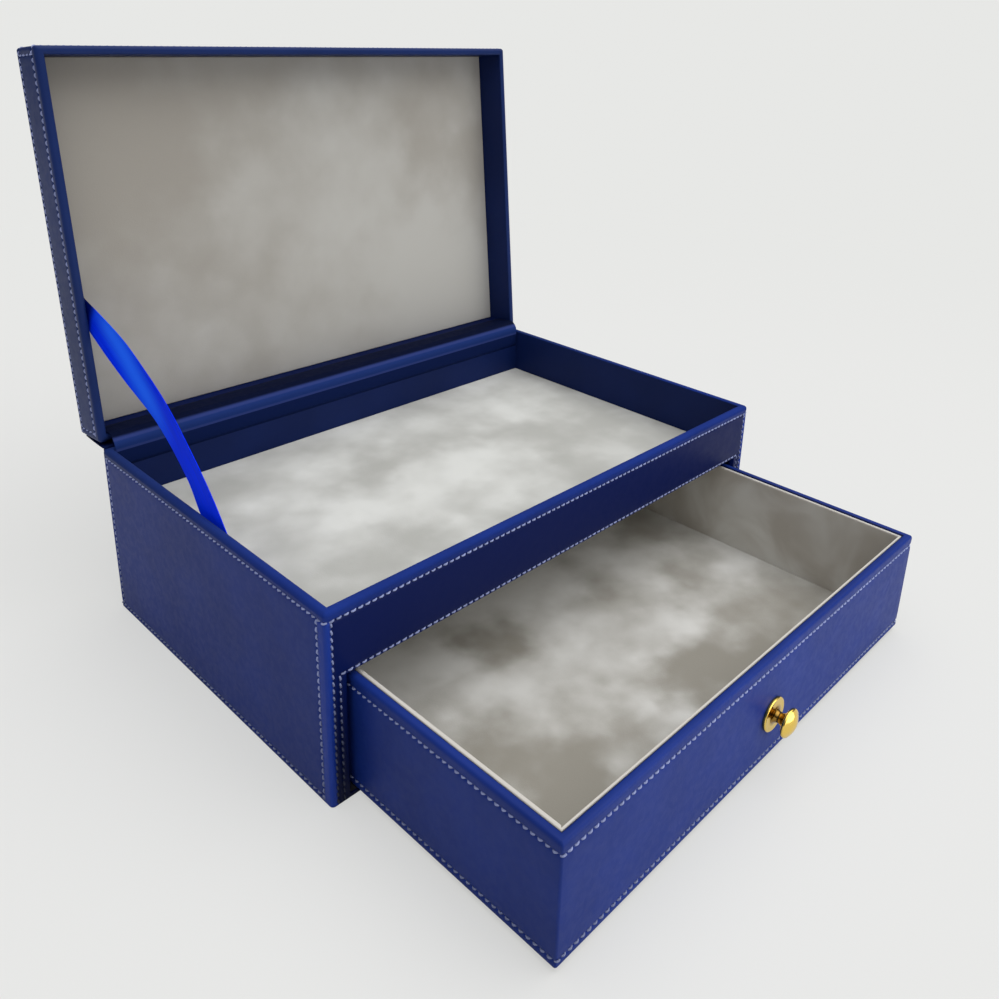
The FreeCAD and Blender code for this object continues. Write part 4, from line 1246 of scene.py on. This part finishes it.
class GIFTBOX_OT_lid_leather(bpy.types.Operator):
    """Make the stitched leather over the lid"""

    bl_idname = "gift_box.lid_leather"
    bl_label = "Lid Leather"

    def execute(self, context):
        looks = context.scene.gift_box
        seams = lid_seams(looks.stitching)
        profile = [(-CASE_RIM_BAND, LID_RIM + 0.8)]
        profile += quarter(profile[0], (-2.8, LID_RIM), (-CASE_RIM_BAND, LID_RIM), 4)
        profile += [(-2.2, LID_RIM)]
        profile += quarter(profile[-1], (0.0, LID_RIM + 2.2), (0.0, LID_RIM), 6)[:-1]
        profile += wall_profile(LID_RIM + 2.2, LID_TOP - 1.5, seams.marks_up())
        profile += quarter(profile[-1], (-1.6, LID_TOP), (0.0, LID_TOP))
        for shift in (-1.15, -0.82, -0.56, -0.34, -0.16, 0.0, 0.16, 0.34, 0.56, 0.82, 1.15, 2.3):
            drop = seams.depth * math.exp(-(shift / seams.width) ** 2)
            profile.append((-LID_ROW - shift, LID_TOP - drop))
        piece = leather_sheet("lid_leather", seams, profile, capped=True)
        open_lid(piece)
        settle(piece, lid_leather(looks.leather), "lid", "navy_leather", "lid_cover")
        return {"FINISHED"}


class GIFTBOX_OT_drawer_leather(bpy.types.Operator):
    """Make the stitched leather round the drawer"""

    bl_idname = "gift_box.drawer_leather"
    bl_label = "Drawer Leather"

    def execute(self, context):
        looks = context.scene.gift_box
        seams = drawer_seams(looks.stitching)
        low, high = box("drawer_cover")
        profile = [(-0.3, low.z), (-0.08, low.z + 0.25)]
        profile += wall_profile(low.z + 0.6, high.z - 2.0, seams.marks_up())
        profile += quarter(profile[-1], (-1.8, high.z), (0.0, high.z), 6)
        profile += [(-3.1, high.z)]
        profile += quarter(profile[-1], (-DRAWER_RIM_BAND, high.z - 1.9), (-DRAWER_RIM_BAND, high.z), 4)
        piece = leather_sheet("drawer_leather", seams, profile)
        settle(piece, drawer_leather(looks.leather, low, high), "drawer", "navy_leather", "drawer_cover")
        return {"FINISHED"}


class GIFTBOX_OT_stitches(bpy.types.Operator):
    """Sew every row of stitches on the case, the lid and the drawer"""

    bl_idname = "gift_box.stitches"
    bl_label = "Stitches"

    def execute(self, context):
        stitching = context.scene.gift_box.stitching
        sew("case_stitches", case_seams(stitching).paths, stitching, "case")
        lid = lid_seams(stitching)
        height = LID_TOP - 0.6 * lid.depth
        for wall in WALLS:
            ends = (LID_ROW + lid.trim, lid.wrap.lengths[wall] - LID_ROW - lid.trim)
            places = [lid.wrap.at(wall, distance, offset=-LID_ROW)[0] for distance in ends]
            path = [(Vector((*place, height)), Vector((0, 0, 1))) for place in places]
            lid.paths.append((path, False))
        sew("lid_stitches", lid.paths, stitching, "lid", opened=True)
        sew("drawer_stitches", drawer_seams(stitching).paths, stitching, "drawer")
        return {"FINISHED"}


class GIFTBOX_OT_suede(bpy.types.Operator):
    """Make the suede panels of the tray, the lid and the drawer"""

    bl_idname = "gift_box.suede"
    bl_label = "Suede Panels"

    def execute(self, context):
        look = context.scene.gift_box.suede
        tray, drawer = box("tray_floor_panel"), box("drawer_floor_panel")
        lid = lid_panel_box()
        points, faces = card(*lid, 0.4)
        for point in points:
            point.z = lid[0].z + lid[1].z - point.z
        for word, body, node, shape, patches_and_painted_light, contrast in (
                ("tray", "case", "tray_floor_panel", card(*tray, 0.7), TRAY_STROKES, 1.0),
                ("drawer", "drawer", "drawer_floor_panel", card(*drawer, 0.7), DRAWER_PAINTED_LIGHT, 1.0),
                ("lid", "lid", "lid_panel", (points, faces), LID_PAINTED_LIGHT, 0.6)):
            piece = mesh_piece(f"{word}_suede", *shape)
            if word == "lid":
                open_lid(piece)
            dark, light = getattr(look, f"{word}_dark"), getattr(look, f"{word}_light")
            suede = suede_material(f"{word.title()} Suede", dark, light, patches_and_painted_light, contrast)
            settle(piece, suede, body, "suede", node)
        return {"FINISHED"}


def lid_panel_box():
    """Lowest and highest corners of the lid's panel with the lid shut."""
    shut = about_hinge(OPEN_ANGLE)
    corners = [shut @ vertex.co / MM for vertex in frame["nodes"]["lid_panel"].data.vertices]
    return [Vector([pick(corner[axis] for corner in corners) for axis in range(3)]) for pick in (min, max)]


class GIFTBOX_OT_liners(bpy.types.Operator):
    """Make the drawer's four suede liners with their pale top edges"""

    bl_idname = "gift_box.liners"
    bl_label = "Drawer Liners"

    def execute(self, context):
        low, high = box("drawer_cover")
        bottom, top = (corner.z for corner in box("drawer_left_lining"))
        wrap = Wrap(low.xy, high.xy, 0.0)
        outer = DRAWER_RIM_BAND + 0.02
        material = liner_material("Liner suede with pale edge", context.scene.gift_box.suede,
                                  (top - 1.0) * MM)
        for wall, (side, width) in enumerate(LINER_WIDTHS.items()):
            inner = DRAWER_RIM_BAND + width
            profile = [(-outer, bottom), (-outer, top - 0.5)]
            profile += quarter(profile[-1], (-outer - 0.5, top), (-outer, top), 4)
            profile += [(-inner + 0.6, top)]
            profile += quarter(profile[-1], (-inner, top - 0.6), (-inner, top), 4)
            profile += [(-inner, top - 1.6), (-inner, bottom)]
            points = [(*wrap.at(wall, distance, offset=offset)[0], height)
                      for distance in (0.0, wrap.lengths[wall]) for offset, height in profile]
            count = len(profile)
            faces = quads(range(count - 1), count, 1) + quads([count - 1], count, 1 - count)
            faces += [list(range(count)), list(reversed(range(count, 2 * count)))]
            piece = mesh_piece(f"drawer_{side}_liner", points, faces, sharp=40)
            settle(piece, material, "drawer", "suede", f"drawer_{side}_lining")
        return {"FINISHED"}


class GIFTBOX_OT_hinge_strips(bpy.types.Operator):
    """Make the two leather hinge strips, bent between the case and the open lid"""

    bl_idname = "gift_box.hinge_strips"
    bl_label = "Hinge Strips"

    def execute(self, context):
        look = context.scene.gift_box.leather
        inner = hinge_strip("inner", seat=6.5, side=1, radius=6.65, steps=18, wider=1.8,
                            lift=ripple, shifts=(0.32, 0.1))
        settle(inner, inner_strip_leather(look), None, "hinge_leather", "inner_hinge_leather")
        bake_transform(inner)
        outer = hinge_strip("outer", seat=1.8, side=-1, radius=1.75, steps=10, wider=2.0, lift=sag)
        settle(outer, painted_shade_strip_leather(look), None, "hinge_leather", "outer_hinge_leather")
        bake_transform(outer)
        return {"FINISHED"}


def hinge_strip(word, seat, side, radius, steps, wider, lift, shifts=()):
    """A strip from the case's back wall to the lid's, on one side of the hinge.

    It reaches the lid's wall at seat from the hinge line; shifts move its first points in Y.
    """
    cosine, sine, slope = math.cos(TILT), math.sin(TILT), math.tan(TILT)
    wall = Vector((HINGE.y + seat * sine + 0.15 * cosine, HINGE.z + seat * cosine - 0.15 * sine))
    low, high = box(f"{word}_hinge_leather")
    upright = low.y + STRIP / 2
    rise = wall.y + side * (STRIP / 2 / cosine)
    corner = (upright, rise + (wall.x - upright) * slope)
    end = (high.y - 0.04, rise + (wall.x - high.y) * slope)
    path = bent_path((upright, low.z), corner, end, radius, steps)
    for place, shift in zip(path, shifts):
        place.x += shift
    return strip_piece(f"{word}_hinge_strip", path, low.x - wider, high.x + wider, lift)


class GIFTBOX_OT_ribbon(bpy.types.Operator):
    """Make the slack satin stay ribbon at the left"""

    bl_idname = "gift_box.ribbon"
    bl_label = "Stay Ribbon"

    def execute(self, context):
        look = context.scene.gift_box.ribbon
        width, thickness, bow = look.width / MM, look.thickness / MM, look.bow / MM
        along, depth, case_tab, lid_tab, steps, across = 77.5, 6.15, 12.0, 9.0, 64, 8
        cosine, sine = math.cos(OPEN_ANGLE), math.sin(OPEN_ANGLE)
        aside = Vector((1, 0, 0))
        wall_x = CASE_LOW[0] + CASE_RIM_BAND + 0.3 + thickness / 2
        lower = Vector((wall_x, -16.0, 94.4))
        upper = Vector((wall_x, HINGE.y - along * cosine + depth * sine,
                        HINGE.z + along * sine + depth * cosine))
        run = upper - lower
        ahead = run.normalized()
        stations = [(lower - ahead * case_tab, 0.0), (lower - ahead * (case_tab / 2), 0.0)]
        for share in [step / steps for step in range(steps + 1)]:
            off, turned = on_curve(RIBBON_CURVE, share)
            stations.append((lower + run * share + aside * (bow * off), turned))
        stations += [(upper + ahead * (lid_tab / 2), 0.0), (upper + ahead * lid_tab, 0.0)]
        points, weave, travelled = [], [], 0.0
        for index, (middle, twisted) in enumerate(stations):
            if index:
                travelled += (middle - stations[index - 1][0]).length
            turn = Matrix.Rotation(look.twist * twisted, 3, ahead)
            side, face = turn @ ahead.cross(aside), turn @ aside
            for surface in (0.5, -0.5):
                for place in [step / across - 0.5 for step in range(across + 1)]:
                    cup = 0.35 * max(twisted, 0.0) * (1 - (2 * place) ** 2)
                    points.append(middle + side * (width * place) + face * (surface * thickness + cup))
                    weave.append(((place + 0.5) * width * MM, travelled * MM))
        piece = mesh_piece("satin_ribbon", points, slab_faces(len(stations), across + 1), sharp=50)
        lay_out(piece, "Weave", weave)
        settle(piece, satin_material("Royal blue satin", look), None, "ribbon", "lid_ribbon")
        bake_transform(piece)
        return {"FINISHED"}


class GIFTBOX_OT_knob(bpy.types.Operator):
    """Turn the gilt knob and its plate"""

    bl_idname = "gift_box.knob"
    bl_label = "Knob"

    def execute(self, context):
        look = context.scene.gift_box.knob
        low, high = box("knob_rosette")
        centre = (low + high) / 2
        face = high.y

        # Painted reflection: the neck between plate and head is darkened brown for the dark leather that it
        # mirrors.
        def neck_painted_reflection(skin, hue):
            across = skin.along("X") - centre.x * MM
            up = skin.along("Z") - centre.z * MM
            radius = skin.maths("SQRT", across * across + up * up)
            share = skin.fade(radius, 0.0036, 0.0060) * skin.step(
                skin.along("Y"), (face - 8.4) * MM, (face - 7.2) * MM)
            return skin.mix(share, hue, (0.30, 0.17, 0.035))

        gilt = metal_material("Polished gilt", look.colour, look.roughness, neck_painted_reflection)
        plate = [(0.0, 0.0), (8.55, 0.0), (8.8, 0.15), (8.85, 0.4), (8.85, 1.15)]
        plate += quarter(plate[-1], (8.1, 1.7), (8.85, 1.7))
        plate += [(7.6, 1.72), (6.8, 1.6), (5.9, 1.62), (5.2, 1.78), (0.0, 1.8)]
        knob = [(0.0, 1.8), (4.1, 1.8)]
        for start, end, bulge, steps in (
                ((4.2, 1.95), (2.7, 3.9), (2.9, 2.3), 6), ((2.65, 4.6), (5.6, 7.75), (2.9, 7.2), 7),
                ((6.7, 8.2), (7.3, 8.8), (7.3, 8.2), 4), ((7.3, 9.3), (6.75, 10.1), (7.3, 9.9), 4)):
            knob += [start] + quarter(start, end, bulge, steps)
        knob += [(6.75 * share, 12.4 - 2.3 * share ** 2) for share in (0.85, 0.7, 0.55, 0.4, 0.25, 0.1, 0.0)]
        for name, node, shape in (("gilt_plate", "knob_rosette", plate), ("gilt_knob", "knob", knob)):
            turned = [(radius, face - depth) for radius, depth in shape]
            settle(lathe(name, turned, centre, look.segments), gilt, "drawer", "gold_metal", node)
        return {"FINISHED"}


class GIFTBOX_OT_stage(bpy.types.Operator):
    """Set up the floor, the surroundings, the lamps and the camera"""

    bl_idname = "gift_box.stage"
    bl_label = "Stage"

    def execute(self, context):
        look = context.scene.gift_box.stage
        make_floor(look)
        make_surroundings(look)
        make_lamps(look)
        make_camera()
        context.scene.view_settings.view_transform = "Standard"
        return {"FINISHED"}


def make_floor(look):
    """A large pale floor that fades into the surroundings away from the box."""
    radius, segments = 6000.0, 96
    angles = [math.tau * step / segments for step in range(segments)]
    points = [(radius * math.cos(angle), radius * math.sin(angle), 0.0) for angle in angles]
    floor = mesh_piece("floor", points, [list(range(segments))], closed=False, smooth=False)
    skin = Shader("Pale floor")
    distance = skin.vector("LENGTH", skin.place(), output="Value")
    tone = skin.mix(skin.clouds(0.4, detail=2), shade(look.floor_colour, 0.99), look.floor_colour)
    near = skin.node("ShaderNodeBsdfDiffuse", inputs={"Color": tone}, output="BSDF")
    far = skin.node("ShaderNodeEmission", inputs={
        "Color": opaque(look.backdrop_colour), "Strength": 1.0}, output="Emission")
    seen = skin.node("ShaderNodeLightPath", output="Is Camera Ray")
    skin.finish(skin.node("ShaderNodeMixShader", inputs={
        0: skin.step(distance, 0.35, 1.2, 0.6, 1.0) * seen, 1: near, 2: far}, output="Shader"))
    paint(floor, skin.material)


def make_surroundings(look):
    """Light all round: brightest overhead, and the backdrop's colour where it is seen."""
    world = bpy.data.worlds.new("Soft studio")
    bpy.context.scene.world = world
    world.use_nodes = True
    nodes = Nodes(world.node_tree)
    where = nodes.node("ShaderNodeTexCoord", output="Generated")
    height = nodes.vector("DOT_PRODUCT", where, (0.10, -0.20, 0.97), output="Value")
    sky = nodes.mix(nodes.step(height, 0.4, 1.0), look.side_colour, look.sky_colour)
    light, seen = (nodes.node("ShaderNodeBackground", inputs={"Color": opaque(colour)})
                   for colour in (sky, look.backdrop_colour))
    camera, through = (nodes.node("ShaderNodeLightPath", output=f"Is {kind} Ray")
                       for kind in ("Camera", "Transmission"))
    both = nodes.node("ShaderNodeMixShader", inputs={
        0: nodes.maths("MAXIMUM", camera, through), 1: light, 2: seen})
    nodes.node("ShaderNodeOutputWorld", inputs={"Surface": both})


def make_lamps(look):
    """A large soft lamp in front, to the right and above, and a low one before the drawer."""
    for name, place, aim, size, power in (
            ("key_lamp", (0.60, -0.80, 1.6), (0.0, -0.05, 0.08), 1.6, look.key_power),
            ("low_lamp", (0.05, -0.46, 0.03), (0.0, -0.24, 0.03), 0.3, look.low_power)):
        lamp = bpy.data.lights.new(name, "AREA")
        lamp.shape = "DISK"
        lamp.size = size
        lamp.energy = power
        holder = add_object(name, lamp)
        holder.location = place
        ahead = Vector(aim) - Vector(place)
        holder.rotation_euler = ahead.to_track_quat("-Z", "Y").to_euler()
        holder.visible_camera = False
    unlit = bpy.data.collections.new("Not lit by the low lamp")
    unlit.objects.link(bpy.data.objects["floor"])
    unlit.collection_objects[0].light_linking.link_state = "EXCLUDE"
    bpy.data.objects["low_lamp"].light_linking.receiver_collection = unlit


def make_camera():
    """The camera at the studio's left, looking down on the open box."""
    camera = bpy.data.cameras.new("camera")
    camera.sensor_width = 36.0
    camera.lens = 33.467
    camera.shift_x = -0.0275
    camera.shift_y = -0.1554
    camera.clip_start = 0.01
    camera.clip_end = 50.0
    holder = add_object("camera", camera)
    holder.location = (-0.346256, -0.383444, 0.333779)
    holder.rotation_euler = [math.radians(angle) for angle in (70.901, -1.933, -46.303)]
    bpy.context.scene.camera = holder


# ---------------------------------------------------------------- the sidebar, and the whole box

PIECE_OPERATORS = (
    GIFTBOX_OT_boards, GIFTBOX_OT_case_leather, GIFTBOX_OT_lid_leather, GIFTBOX_OT_drawer_leather,
    GIFTBOX_OT_stitches, GIFTBOX_OT_suede, GIFTBOX_OT_liners, GIFTBOX_OT_hinge_strips,
    GIFTBOX_OT_ribbon, GIFTBOX_OT_knob, GIFTBOX_OT_stage)


class GIFTBOX_PT_sidebar(bpy.types.Panel):
    """Sizes, colours and making of the gift box"""

    bl_idname = "GIFTBOX_PT_sidebar"
    bl_label = "Gift Box"
    bl_space_type = "VIEW_3D"
    bl_region_type = "UI"
    bl_category = "Gift Box"

    def draw(self, context):
        settings = context.scene.gift_box
        for word in GiftBoxSettings.__annotations__:
            group = getattr(settings, word)
            panel = self.layout.box()
            panel.label(text=word.title())
            for name in type(group).__annotations__:
                panel.prop(group, name)
        for operator in PIECE_OPERATORS:
            self.layout.operator(operator.bl_idname)


CLASSES = (LeatherLook, StitchSizes, SuedeLook, RibbonShape, KnobLook, StageLook,
           GiftBoxSettings, *PIECE_OPERATORS, GIFTBOX_PT_sidebar)


def register():
    """Registers the classes and the settings."""
    for item in CLASSES:
        bpy.utils.register_class(item)
    bpy.types.Scene.gift_box = PointerProperty(type=GiftBoxSettings, name="Gift Box",
                                               description="Sizes and colours of the gift box")


def unregister():
    """Takes the settings and the classes away."""
    del bpy.types.Scene.gift_box
    for item in reversed(CLASSES):
        bpy.utils.unregister_class(item)


def main():
    """Makes every piece and the stage."""
    register()
    for operator in PIECE_OPERATORS:
        group, word = operator.bl_idname.split(".")
        getattr(getattr(bpy.ops, group), word)()


if __name__ == "__main__":
    main()
